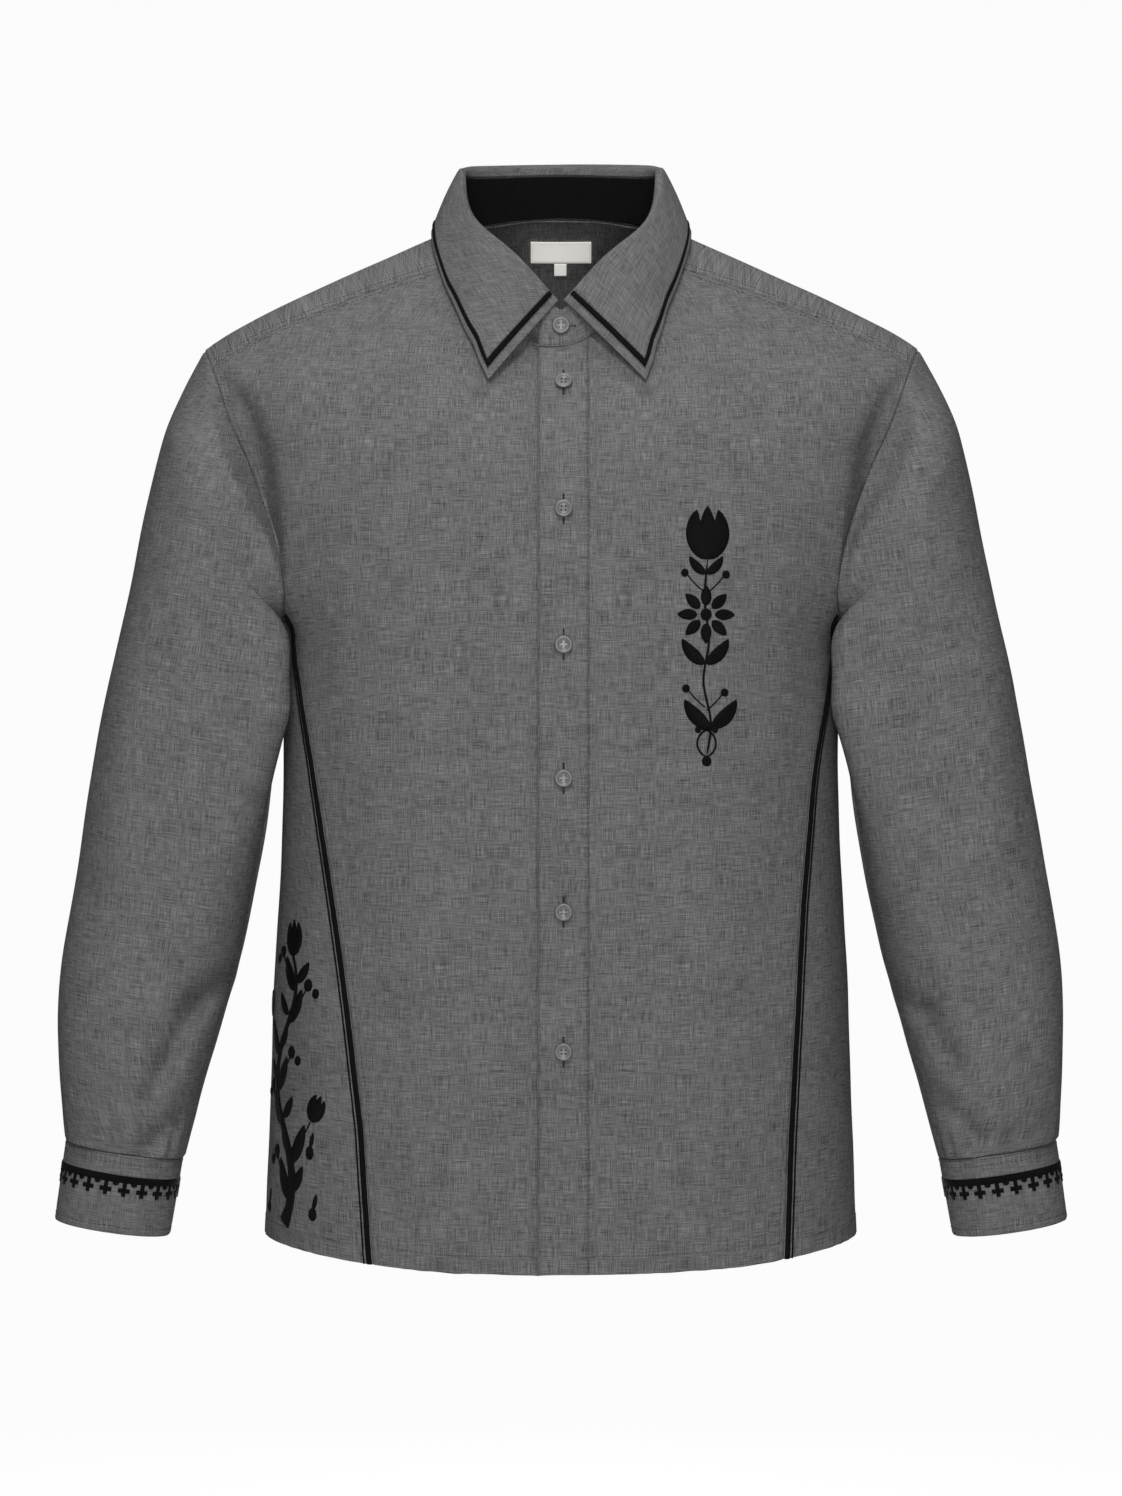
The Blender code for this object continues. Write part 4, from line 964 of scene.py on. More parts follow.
def thread_material(name, colour, pitch=0.00036, rough=0.5, depth=0.00016, gloss=0.25):
    """Satin-stitched or twisted thread: fine ridges across the stitch's run."""
    material, tree, shader, weave, split = new_material(name, gloss)
    fray = streaks(tree, weave, 0.0016, 0.0030, 5.0)
    turns = maths(tree, "MULTIPLY", split[0], 2.0 * math.pi / pitch)
    turns = maths(tree, "MULTIPLY_ADD", fray, 5.0, turns)
    ridge = maths(tree, "MULTIPLY_ADD", maths(tree, "SINE", turns), 0.5, 0.5)
    factor = maths(tree, "MULTIPLY_ADD", ridge, 0.9, 0.55)
    factor = maths(tree, "MULTIPLY_ADD", maths(tree, "SUBTRACT", fray, 0.5), 0.8, factor)
    paint(tree, shader, colour, factor)
    emboss(tree, shader, 0.8, depth, ridge)
    shader.inputs["Roughness"].default_value = rough
    return material


def button_material(name, colour):
    """Pressed horn-like plastic: faint clouds under a soft polish, and painted shade that darkens the rim's
    outer side towards the foot.
    """
    material, tree, shader, _, split = new_material(name)
    where = add_node(tree, "ShaderNodeTexCoord").outputs["Object"]
    cloud = noise(tree, where, 260.0, 4.0, Distortion=0.8)
    factor = maths(tree, "MULTIPLY_ADD", cloud, 0.7, 0.65)
    # Painted shade: the rim's outer side and foot are darkened where the button's shadow and the gap under
    # it fall
    edge = maths(tree, "MULTIPLY_ADD", ramp(tree, split[0], 0.0058, 0.0072), -0.80, 1.0)
    paint(tree, shader, colour, maths(tree, "MULTIPLY", factor, edge))
    scuff = noise(tree, where, 1900.0, 2.0)
    tree.links.new(maths(tree, "MULTIPLY_ADD", scuff, 0.20, 0.24), shader.inputs["Roughness"])
    emboss(tree, shader, 0.15, 0.0001, scuff)
    return material


LINEN = woven_material("mid_grey_linen", (0.150, 0.150, 0.150), melange=2.5, slub=2.9, bump=1.6)
LINEN_CUFF = woven_material("cuff_linen", (0.148, 0.148, 0.148), melange=2.3, slub=2.0, bump=1.6)
BLACK = woven_material("black_band", (0.0055, 0.0055, 0.0060), melange=1.2, slub=0.3, gloss=0.07)
LABEL = woven_material("label_satin", (0.92, 0.90, 0.85), 0.0002, 0.12, 0.0, bump=0.4, rough=0.5)
# The label glows faintly: painted light that brightens it in the shade inside the neck
label_glow_shader = LABEL.node_tree.nodes["Principled BSDF"]
label_glow_shader.inputs["Emission Color"].default_value = (1.0, 0.97, 0.91, 1.0)
label_glow_shader.inputs["Emission Strength"].default_value = 0.34
GREY_THREAD = thread_material("grey_sewing_thread", (0.070, 0.070, 0.070), rough=0.7)
PALE_THREAD = thread_material("pale_button_thread", (0.36, 0.36, 0.35), rough=0.6)
HOLE_THREAD = thread_material("dark_buttonhole_thread", (0.026, 0.026, 0.026), rough=0.7, gloss=0.1)
BLACK_THREAD = thread_material("black_embroidery_thread", (0.0050, 0.0050, 0.0055), rough=0.5, gloss=0.07)
BUTTON = button_material("mid_grey_button", (0.150, 0.150, 0.148))
# Near-black paint for the discs of painted shade that stand for the button holes
BUTTON_HOLE_SHADE = button_material("button_hole_painted_shade", (0.008, 0.008, 0.008))


# Stitches


def sew(batch, points, normals, length=0.0025, gap=0.0009, radius=0.00021):
    """A line of lockstitches laid on a surface line, each sunk at both ends."""
    points, normals = resample(points, normals, length + gap)
    for here, there, normal in zip(points[:-1], points[1:], normals[:-1]):
        run = unit(there - here)
        span = np.linalg.norm(there - here) - gap
        ring = circle(unit(np.cross(normal, run)), normal, 4, math.pi / 4.0)
        rings = []
        for share, size, rise in ((0.0, 0.25, -0.8), (0.16, 0.9, 0.3), (0.84, 0.9, 0.3), (1.0, 0.25, -0.8)):
            centre = here + run * span * share + normal * (0.00008 + radius * rise)
            rings.append(centre + ring * radius * size)
        batch.tube(np.array(rings), span)


body_stitches = Batch()
sleeve_stitches = Batch()
collar_stitches = Batch()
label_stitches = Batch()
hole_shade_discs = Batch()
buttonholes = Batch()


# Heights across a narrow band, as shares of its middle
FLAT_CROWN = (0.45, 0.92, 1.0, 0.92, 0.45)
ROUND_CROWN = (0.3, 0.85, 1.0, 0.85, 0.3)


def cloth(name, outer, inner, material, slot, rests_on, held="hung", weave=None, closed=False):
    """One sewn piece of cloth, standing for the solid of the same name."""
    batch = Batch()
    batch.add(outer, inner, weave, closed)
    piece = batch.piece(name + "_cloth", material, slot, name)


def black_band(name, points, facing, crown):
    """A narrow black strip on the cloth; crown holds the heights across it."""
    batch = Batch()
    batch.add(points + facing * crown[:, None], points + facing * 0.0002)
    return batch.piece(name + "_cloth", BLACK, "black_cloth", name)


# Body


def make_panel(name, points, normals, seams, rests_on, weave=None, thinner=0.0):
    """Works swells, seams and folds into a panel of the body, and makes its cloth and stitches."""
    points = points + normals * drape(points)[..., None]
    points = fold_in(relief(points, normals, seams))
    edges = [edge for edge in seams if not edge.startswith("hem_")]
    outer = draw_in(points, edges, 0.5 * SEAM_GAP)
    inner = draw_in(points - normals * CLOTH, edges, 0.5 * SEAM_GAP) + normals * thinner
    cloth(name, outer, inner, LINEN, "linen", rests_on, weave=weave)
    for edge, (stitch, _) in seams.items():
        if stitch:
            sew(body_stitches, *inset_line(outer, normals, edge.replace("hem_", ""), stitch))
    return outer


def under_sink(point):
    """The right front lies under the left one near the centre."""
    deep = FRONT_OVERLAP + NECK_OVERLAP * smooth((point[..., 2] + 0.115) / 0.02)
    deep = deep - 0.0005 * smooth(-(point[..., 2] + 0.16) / 0.05)
    tuck = 0.0016 * bell(point[..., 0] + 0.0168, 0.0016)
    deep = deep + tuck * smooth((-0.105 - point[..., 2]) / 0.02)
    return deep * smooth((point[..., 0] + 0.062) / 0.038)


def make_front(side, word):
    level, outer_angle, step = row_marks(False, side)
    columns = PLACKET_COLUMNS if side > 0 else UNDER_COLUMNS
    start = np.stack([angle_at(np.full(level.shape, x), level) for x in columns], axis=1)
    rest = spread_rows(start[:, -1], side * outer_angle, level, marks_across(FRONT_WIDTH, False, True))
    angles = np.concatenate([start[:, :-1], rest], axis=1)
    levels = np.broadcast_to(level[:, None], angles.shape)
    points = body(angles, levels)
    normals = body_normal(angles, levels)
    on_arm = ~np.isnan(step)
    normals[on_arm, -1] = arm_normals(side, step[on_arm])
    seams = {
        "last_column": (SEAM_STITCH, STITCHED_PUCKER),
        "last_row": (NO_STITCH, SEAM_PUCKER),
        "hem_first_row": (HEM_FOLD, HEM_PUCKER),
    }
    name = "front_" + word
    if side < 0:
        points = points - normals * under_sink(points)[..., None]
        make_panel(name, points, normals, seams, ["yoke_cloth"])
        return
    dip = NECK_DIP * smooth(-points[..., 0] / 0.0162) * smooth(levels - NECK_LEVEL + 1.0)
    rise = unit(body_form(angles, levels) - body_form(angles, levels - 0.1))
    points = points - rise * dip[..., None]
    thinner = 0.00055 * smooth((0.022 - points[..., 0]) / 0.006)[..., None]
    outer = make_panel(name, points, normals, seams, ["yoke_cloth"], thinner=thinner)
    make_placket(outer, normals)


def make_placket(front, normals):
    """The raised strip down the left front, from the front's own first columns."""
    facing = normals[:, :len(PLACKET_COLUMNS)]
    strip = front[:, :len(PLACKET_COLUMNS)] + facing * PLACKET_RISE
    from_edge = lengths_along(strip, 1)
    to_seam = from_edge[:, -1:] - from_edge
    run = lengths_along(strip, 0)
    swell = 0.00028 * wobble(run, 4.0, 0.045) * bell(from_edge, 0.009)
    swell += 0.00022 * wobble(run, 6.0, 0.052) * bell(to_seam, 0.009)
    settle = (PLACKET_RISE - 0.00022) * np.exp(-(to_seam / 0.0042) ** 4)
    strip = strip + facing * (swell - settle)[..., None]
    strip[:, 0, 0] += 0.0005 * wobble(run[:, 0], 9.0, 0.09)
    depth = np.maximum(PLACKET_RISE - 0.00015 - settle, 0.00014)
    under = draw_in(strip - facing * depth[..., None], ("last_row",), 0.5 * SEAM_GAP)
    strip = draw_in(strip, ("last_row",), 0.5 * SEAM_GAP)
    cloth("front_placket", strip, under, LINEN, "linen", ["front_left_cloth"])
    for edge in ("first_column", "last_column"):
        sew(body_stitches, *inset_line(strip, facing, edge, 0.0012))


def make_side(side, word):
    steps = np.linspace(ARM_SIDE, 360.0 - ARM_SIDE, 37)
    arc_angle, arc_level = arm_place(steps)
    length = lengths_along(body(side * arc_angle, arc_level)[None], 1)[0]
    shares = marks_across(SIDE_WIDTH)
    top_angle, top_level, top_step = [
        np.interp(shares * length[-1], length, values) for values in (arc_angle, arc_level, steps)
    ]
    level = marks_across(SIDE_HEIGHT) * SIDE_TOP
    first, second = side_seam(side, level)
    even = spread_rows(first, second, level, shares)
    parts = (top_angle - top_angle[0]) / (top_angle[-1] - top_angle[0])
    bound = first[:, None] + (second - first)[:, None] * parts
    blend = smooth((level - 4.0) / (SIDE_TOP - 4.0))[:, None]
    angles = side * (even + (bound - even) * blend)
    lift = np.maximum(0.0, (level - 5.0) / (SIDE_TOP - 5.0))[:, None]
    levels = level[:, None] + lift * (top_level - SIDE_TOP)[None, :]
    points = body(angles, levels)
    normals = body_normal(angles, levels)
    normals[-1] = arm_normals(side, top_step)
    seams = {
        "first_column": (NO_STITCH, SEAM_PUCKER),
        "last_column": (NO_STITCH, SEAM_PUCKER),
        "last_row": (NO_STITCH, SEAM_PUCKER),
        "hem_first_row": (HEM_FOLD, HEM_PUCKER),
    }
    name = "side_panel_" + word
    outer = make_panel(name, points, normals, seams, ["front_" + word + "_cloth", "back_panel_cloth"])
    near = lengths_along(outer, 1)
    for kind, low, high, crown in (
        ("side_trim_", 0.0003, 0.0042, 0.0009 * np.array(FLAT_CROWN)),
        ("side_piping_", 0.0056, 0.0068, 0.0010 * np.array(ROUND_CROWN)),
    ):
        marks = np.linspace(low, high, len(crown))
        band = np.array([at_length(marks, line, point) for line, point in zip(near, outer)])
        run = lengths_along(band, 0)[:, 0]
        stay = run < run[-1] - 0.0035
        piece = black_band(kind + word, band[stay], normals[stay, :1], 0.0002 + crown)


def make_back():
    level, left, step = row_marks(True, 1)
    _, right, _ = row_marks(True, -1)
    angles = spread_rows(left, 2.0 * math.pi - right, level, marks_across(BACK_WIDTH))
    levels = np.broadcast_to(level[:, None], angles.shape)
    normals = body_normal(angles, levels)
    on_arm = ~np.isnan(step)
    normals[on_arm, 0] = arm_normals(1, step[on_arm])
    normals[on_arm, -1] = arm_normals(-1, step[on_arm])
    seams = {
        "first_column": (SEAM_STITCH, STITCHED_PUCKER),
        "last_column": (SEAM_STITCH, STITCHED_PUCKER),
        "last_row": (NO_STITCH, SEAM_PUCKER),
        "hem_first_row": (HEM_FOLD, HEM_PUCKER),
    }
    make_panel("back_panel", body(angles, levels), normals, seams, ["yoke_cloth"])


def make_yoke():
    """The yoke, from the armholes and the back seam in to the neck."""
    over = np.linspace(ARM_YOKE_FRONT, -ARM_YOKE_BACK, 34)
    angle, level = arm_place(over)
    last = angle[-1:]
    across = spread_rows(last, 2.0 * math.pi - last, level[-1:], np.linspace(0.0, 1.0, 97))[0]
    outer_angles = np.concatenate([angle, across[1:-1], 2.0 * math.pi - angle[::-1]])
    outer_levels = np.concatenate([level, np.full(95, level[-1]), level[::-1]])
    neck = np.radians(np.concatenate([
        np.linspace(YOKE_NECK_ANGLE, 104.0, 34),
        np.linspace(104.0, 256.0, 97)[1:-1],
        np.linspace(256.0, 360.0 - YOKE_NECK_ANGLE, 34),
    ]))
    share = marks_across(YOKE_DEPTH)[:, None]
    angles = outer_angles + (neck - outer_angles) * share
    levels = outer_levels + (NECK_LEVEL - outer_levels) * share
    points = body(angles, levels)
    normals = body_normal(angles, levels)
    normals[0, :34] = arm_normals(1, over)
    normals[0, -34:] = arm_normals(-1, over[::-1])
    seams = {
        "first_column": (SEAM_STITCH, SEAM_PUCKER),
        "last_column": (SEAM_STITCH, SEAM_PUCKER),
        "first_row": (SEAM_STITCH, SEAM_PUCKER),
        "last_row": (NO_STITCH, 0.75 * SEAM_PUCKER),
    }
    weave = np.stack([points[..., 0], -lengths_along(points, 0)], axis=-1)
    make_panel("yoke", points, normals, seams, ["collar_stand_cloth"], weave)


# Sleeves and cuffs

GATHER_HEIGHT = 0.0013
GATHER_REACH = 0.022
CUFF_HEIGHT = 0.056

def sleeve_weave(side, points):
    """Cloth coordinates round the sleeve's own axis, with the grain along it."""
    grain = unit(np.array([side * 0.16, 0.03, -1.0]))
    outward = unit(np.array([side, 0.0, 0.0]) - side * grain[0] * grain)
    deep_way = np.cross(grain, outward)
    rings = points[60:]
    middle = rings.mean(axis=1)
    girth = np.linalg.norm(np.diff(rings, axis=1, append=rings[:, :1]), axis=2).sum(axis=1)
    drop = points @ grain
    at = middle @ grain
    off_out = points @ outward - np.interp(drop, at, middle @ outward)
    off_deep = points @ deep_way - np.interp(drop, at, middle @ deep_way)
    turn = np.unwrap(np.arctan2(off_deep, off_out), axis=1)
    turn = turn - turn[:, 65:66] + np.arctan2(off_deep, off_out)[:, 65:66]
    radius = np.interp(drop, at, girth) / (2.0 * math.pi)
    return np.stack([turn * radius, drop], axis=-1)


def make_sleeve(side, word):
    around = np.linspace(-180.0, 180.0, 131)[:-1]
    rows = np.concatenate([[0.0, 0.05, 0.12, 0.22], np.linspace(0.34, 14.0, 138)])
    step, row = np.meshgrid(around, rows)
    points = sleeve(side, step, row)
    normals = sleeve_normal(side, step, row)
    normals[0] = arm_normals(side, around)
    down = lengths_along(points, 0)
    left = down[-1:] - down
    turn = np.radians(around)
    gathers = np.sin(15.0 * turn + 1.3 * np.sin(4.0 * turn + DRAPE_SEED))
    gathers *= 0.55 + 0.45 * np.sin(3.0 * turn + DRAPE_SEED)
    underarm = np.abs(step) - 180.0
    height = drape(points, 0.0007)
    height -= 0.0009 * bell(down, 0.0015)
    height += GATHER_HEIGHT * gathers * bell(left - 0.006, GATHER_REACH)
    height += 0.0004 * wobble(turn * 0.08, DRAPE_SEED) * bell(down, 0.012)
    height -= 0.0005 * bell(underarm, 1.6)
    points = points + normals * height[..., None]
    weave = sleeve_weave(side, points)
    points = fold_in(points)
    edges = ("first_row", "last_row")
    outer = draw_in(points, edges, 0.5 * SEAM_GAP)
    inner = draw_in(points - normals * CLOTH, edges, 0.5 * SEAM_GAP)
    name = "sleeve_" + word
    cloth(name, outer, inner, LINEN, "linen", ["yoke_cloth"], weave=weave, closed=True)
    make_sleeve_placket(side, word)


def make_sleeve_placket(side, word):
    place, row = np.meshgrid(np.linspace(-50.0, -71.0, 9), np.linspace(10.6, 13.9, 34))
    strip = sleeve(side, place, row)
    facing = sleeve_normal(side, place, row)
    strip = fold_in(strip + facing * drape(strip, 0.0007)[..., None])
    raised = strip + facing * (LIFT + 0.0013 + CLOTH)
    under = raised - facing * CLOTH
    cloth("sleeve_placket_" + word, raised, under, LINEN_CUFF, "linen", ["sleeve_" + word + "_cloth"])
    for edge in ("first_column", "last_column", "first_row"):
        sew(sleeve_stitches, *inset_line(raised, facing, edge, 0.0015))


def make_cuff(side, word):
    """A cuff with its stitches; gives back its outer face for the border."""
    seed = 3.1 + side
    path = np.linspace(-80.0, 308.0, 150)
    drop = np.concatenate([[0.0, 0.012, 0.03, 0.06], np.linspace(0.1, 0.9, 15), [0.94, 0.97, 0.988, 1.0]])
    step, share = np.meshgrid(path, drop)
    outer = cuff_point(side, step, share, np.zeros_like(step))
    under = cuff_point(side, step, share, np.full_like(step, CUFF_WALL))
    facing = unit(outer - under)
    edge = np.minimum(share, 1.0 - share) * CUFF_HEIGHT
    run = lengths_along(outer, 1)
    height = -0.00055 * bell(edge, 0.0009) - 0.00018 * bell(edge - 0.0052, 0.0010)
    height += 0.00022 * wobble(run, seed, 0.014) * bell(edge, 0.008)
    height += 0.00035 * np.sin(step / 21.0 + seed) * np.sin(share * 3.0 + seed)
    outer = outer + facing * height[..., None]
    cloth("cuff_" + word, outer, under, LINEN_CUFF, "linen", ["sleeve_" + word + "_cloth"])
    lines = (("first_row", 0.0016), ("first_row", 0.0060), ("last_row", 0.0052), ("last_column", 0.0030))
    for edge_name, inset in lines:
        sew(sleeve_stitches, *inset_line(outer, facing, edge_name, inset))
    return outer, facing


# Embroidery: every motif is a row of satin-stitched strokes on a surface

STROKE_LIFT = 0.00025
STROKE_FOOT = 0.00008

def stroke(spine, half_widths, height=0.00060, ribs=7):
    """Flat places and heights of one satin-stitched stroke."""
    spine = np.asarray(spine, float)
    half_widths = np.asarray(half_widths, float)
    run = unit(np.gradient(spine, axis=0))
    side = np.stack([-run[:, 1], run[:, 0]], axis=1)
    across = np.linspace(-1.0, 1.0, ribs)
    places = spine[:, None, :] + side[:, None, :] * (across[None, :, None] * half_widths[:, None, None])
    crown = height * (0.35 + 0.65 * np.sqrt(np.maximum(1.0 - across ** 2, 0.0)))
    slim = np.clip(half_widths / 0.0006, 0.25, 1.0)
    return places, crown[None, :] * slim[:, None]


def bend(start, heading, length, turn, count=13):
    """A curve of even bend: start, heading and turn in degrees."""
    share = np.linspace(0.0, 1.0, count)
    direction = np.radians(heading + turn * share)
    steps = np.stack([np.cos(direction), np.sin(direction)], axis=1)
    middle = 0.5 * (steps[1:] + steps[:-1]) * (length / (count - 1))
    return np.concatenate([[np.zeros(2)], np.cumsum(middle, axis=0)]) + np.asarray(start)


def leaf(start, heading, length, width, turn=25.0):
    share = np.linspace(0.0, 1.0, 15)
    spine = bend(start, heading, length, turn, 15)
    return stroke(spine, 0.5 * width * np.sin(np.pi * share ** 0.85) ** 0.75 + 0.00015)


def berry(centre, radius):
    share = np.linspace(-1.0, 1.0, 11)
    spine = np.asarray(centre) + np.stack([share * radius, 0.0 * share], axis=1)
    return stroke(spine, radius * np.sqrt(np.maximum(1.0 - share ** 2, 0.0)) + 0.00012, 0.0009)


def stem(points, width, height=0.0005):
    points = np.asarray(points, float)
    share = np.linspace(0.0, 1.0, len(points))
    ends = np.clip(np.minimum(share, 1.0 - share) * 14.0, 0.35, 1.0)
    return stroke(points, 0.5 * width * ends, height, 5)


def tulip(base, heading, size):
    parts = [leaf(base, heading, size, size * 0.34, 0.0)]
    for sign in (-1.0, 1.0):
        parts.append(leaf(base, heading + 44.0 * sign, size * 1.0, size * 0.34, -64.0 * sign))
    return parts


def rosette(centre, radius, petals):
    parts = [berry(centre, radius * 0.20)]
    for number in range(petals):
        heading = 360.0 * number / petals + 90.0
        way = np.array([math.cos(math.radians(heading)), math.sin(math.radians(heading))])
        foot = np.asarray(centre) + way * radius * 0.30
        parts.append(leaf(foot, heading, radius * 0.70, radius * 0.36, 0.0))
    return parts


def chest_design():
    """A flowering stem: tulip, rosette, leaf pairs and berries."""
    sway = (0.000, 0.003, -0.002, 0.002, -0.001, 0.001)
    heights = (-0.086, -0.062, -0.034, -0.006, 0.022, 0.050)
    spine = along(np.stack([sway, heights], axis=1), np.linspace(0.0, len(sway) - 1.0, 60))
    parts = [stem(spine, 0.0015)]
    parts += tulip((0.001, 0.050), 90.0, 0.037)
    parts += rosette((0.0, 0.012), 0.0200, 8)
    for height, size in ((-0.066, 0.027), (-0.022, 0.024), (0.040, 0.017)):
        x = float(np.interp(height, spine[:, 1], spine[:, 0]))
        for sign in (-1.0, 1.0):
            heading = 90.0 - sign * 62.0
            parts.append(leaf((x, height), heading, size, size * 0.36, sign * 38.0))
    for height, reach in ((-0.046, 0.016), (-0.044, -0.017), (0.034, 0.018), (0.035, -0.018)):
        x = float(np.interp(height, spine[:, 1], spine[:, 0]))
        sign = math.copysign(1.0, reach)
        curve = bend((x, height - 0.008), 90.0 - 55.0 * sign, abs(reach), 20.0 * sign)
        parts.append(stem(curve, 0.0009))
        parts.append(berry(curve[-1] + np.array([0.0016 * sign, 0.001]), 0.0027))
    for sign in (-1.0, 1.0):
        curl = bend((0.0, -0.086), 90.0 + sign * 70.0, 0.030, -sign * 175.0, 21)
        parts.append(stem(curl, 0.0013))
        parts.append(berry(curl[-1], 0.0022))
    parts.append(berry((0.0, -0.089), 0.0034))
    return parts


def side_design():
    """A climbing vine with tulips, leaves and berries, in arc length and height."""
    heights = np.linspace(-0.700, -0.520, 90)
    sway = 0.014 + 0.013 * np.sin((heights + 0.700) / 0.180 * 2.0 * math.pi * 1.35 + 0.4)
    spine = np.stack([sway, heights], axis=1)
    trunk = 0.5 * np.interp(heights, (-0.700, -0.690, -0.600, -0.520), (0.0130, 0.0092, 0.0060, 0.0022))
    parts = [stroke(spine, trunk, 0.0008)]
    for number, height in enumerate((-0.684, -0.662, -0.640, -0.616, -0.592, -0.568, -0.545)):
        x = float(np.interp(height, heights, sway))
        sign = 1.0 if number % 2 else -1.0
        parts.append(leaf((x, height), 90.0 - sign * 48.0, 0.029, 0.0105, sign * 30.0))
        parts.append(leaf((x, height + 0.006), 90.0 + sign * 58.0, 0.020, 0.0080, -sign * 34.0))
        curve = bend((x, height + 0.008), 90.0 - sign * 70.0, 0.030, sign * 42.0)
        parts.append(stem(curve, 0.0011))
        if number in (1, 4):
            parts += tulip(tuple(curve[-1]), 90.0 - sign * 30.0, 0.020)
        else:
            parts.append(berry(curve[-1], 0.0042))
            parts.append(berry(curve[-1] + np.array([sign * 0.0078, -0.0055]), 0.0032))
    parts += tulip(tuple(spine[-1]), 92.0, 0.026)
    for x, z in ((0.046, -0.655), (0.050, -0.690), (-0.010, -0.693)):
        parts.append(berry((x, z), 0.0038))
        parts.append(leaf((x, z + 0.003), 62.0, 0.010, 0.0036, 20.0))
    return parts


def border_design(length):
    """Hanging crosses with small tabs between them under a solid line, all round a cuff."""
    top = 0.0144
    thick = 0.0050
    pitch = length / round(length / 0.0130)
    line = np.stack([np.linspace(0.001, length - 0.001, 220), np.full(220, top + 0.5 * thick)], axis=1)
    parts = [stroke(line, np.full(220, 0.5 * thick), 0.0005)]
    low = top + thick - 0.0004
    for number in range(int(round(length / pitch))):
        x = (number + 0.5) * pitch
        post = np.stack([np.full(8, x), np.linspace(low, low + 0.0098, 8)], axis=1)
        parts.append(stroke(post, np.full(8, 0.00145), 0.00052))
        bar = np.stack([np.linspace(x - 0.0041, x + 0.0041, 8), np.full(8, low + 0.0058)], axis=1)
        parts.append(stroke(bar, np.full(8, 0.0015), 0.00056))
        tab_x = x + 0.5 * pitch
        if tab_x < length - 0.003:
            share = np.linspace(0.0, 1.0, 7)
            tab = np.stack([np.full(7, tab_x), low + share * 0.0026], axis=1)
            parts.append(stroke(tab, 0.00215 * np.sqrt(np.clip(1.15 - share ** 3, 0.1, 1.0)), 0.0005))
    return parts


def embroider(name, parts, place, shift=(0.0, 0.0)):
    """Lays the strokes on a surface; place gives points and facings from flat places."""
    batch = Batch()
    for places, heights in parts:
        points, facing = place(places[..., 0] + shift[0], places[..., 1] + shift[1])
        weave = np.stack([lengths_along(points, 0), lengths_along(points, 1)], axis=-1)
        batch.add(points + facing * (heights + STROKE_LIFT)[..., None], points + facing * STROKE_FOOT, weave)
    batch.piece(name, BLACK_THREAD, "black_cloth")


def place_at(x, z, back=False):
    """Body angle and ring number where the front or back face has the given x and z."""
    low = np.zeros(np.shape(x))
    high = np.full(np.shape(x), NECK_LEVEL)
    for _ in range(34):
        middle = 0.5 * (low + high)
        below = body_form(angle_at(x, middle, back), middle)[..., 2] < z
        low = np.where(below, middle, low)
        high = np.where(below, high, middle)
    return angle_at(x, low, back), low


def finished(angle, level):
    """Points and facings of the body's cloth with its swells and folds."""
    points = body(angle, level)
    normals = body_normal(angle, level)
    return fold_in(points + normals * drape(points)[..., None]), normals


def front_place(x, z):
    """Points and facings of the left front at world x and z."""
    return finished(*place_at(x, z))


def side_place(arc, z):
    """Points and facings of the wearer's right side; arc runs forward from the side."""
    side_columns = 7
    level = np.interp(z, [row[3] for row in BODY[:side_columns]], range(side_columns))
    first, last = np.radians((-135.0, -30.0))
    flat = np.zeros(level.size)
    turns, length = ring_lengths(flat + first, flat + last, level.ravel(), 106)
    length = length - length[:, 45:46]
    angle = np.array([np.interp(*values) for values in zip(arc.ravel(), length, turns)])
    return finished(angle.reshape(arc.shape), level)


def cuff_place(outer, facing):
    """The cuff's own placing of a design, by length round it and down it; and its whole length."""
    run = lengths_along(outer, 1)[9]
    drops = lengths_along(outer, 0)[:, 70]

    def place(arc, down):
        column = np.interp(arc, run, np.arange(len(run)))
        row = np.interp(down, drops, np.arange(len(drops)))
        return bilinear(outer, row, column), unit(bilinear(facing, row, column))

    return place, float(run[-1])


def bilinear(grid, row, column):
    low_row = np.clip(row.astype(int), 0, grid.shape[0] - 2)
    low_column = np.clip(column.astype(int), 0, grid.shape[1] - 2)
    down = (row - low_row)[..., None]
    over = (column - low_column)[..., None]
    first, second = [
        grid[line, low_column] * (1.0 - over) + grid[line, low_column + 1] * over
        for line in (low_row, low_row + 1)
    ]
    return first * (1.0 - down) + second * down


# Buttons


# Radius and rise of a button's rings, from the dish over the rim to the foot
BUTTON_RINGS = (
    (0.00005, 0.0015), (0.0008, 0.0015), (0.0016, 0.0015), (0.0024, 0.0015),
    (0.0032, 0.0016), (0.0038, 0.00185), (0.0043, 0.0022), (0.0048, 0.0024),
    (0.0054, 0.00238), (0.0059, 0.0021), (0.0062, 0.0017), (0.00625, 0.0012),
    (0.0060, 0.0006), (0.0052, 0.0002), (0.0030, 0.0001), (0.00005, 0.0001),
)
# Near-black discs of painted shade on the dish, where the four holes are: radius and rise of their rings
HOLE_RINGS = (
    (0.00090, 0.00146), (0.00088, 0.00157), (0.00076, 0.00160), (0.00074, 0.00154), (0.00050, 0.00151),
)
HOLE_ACROSS = 0.00165
HOLE_UP = 0.00145
UP = np.array([0.0, 0.0, 1.0])
ACROSS = np.array([1.0, 0.0, 0.0])


def face_frame(normal, up):
    """The directions across and up on a surface."""
    side = unit(np.cross(up, normal))
    return side, np.cross(normal, side)


def turned(centre, normal, ring, profile):
    """Rings of a turned shape from its profile of (radius, rise)."""
    return np.array([centre + ring * radius + normal * rise for radius, rise in profile])


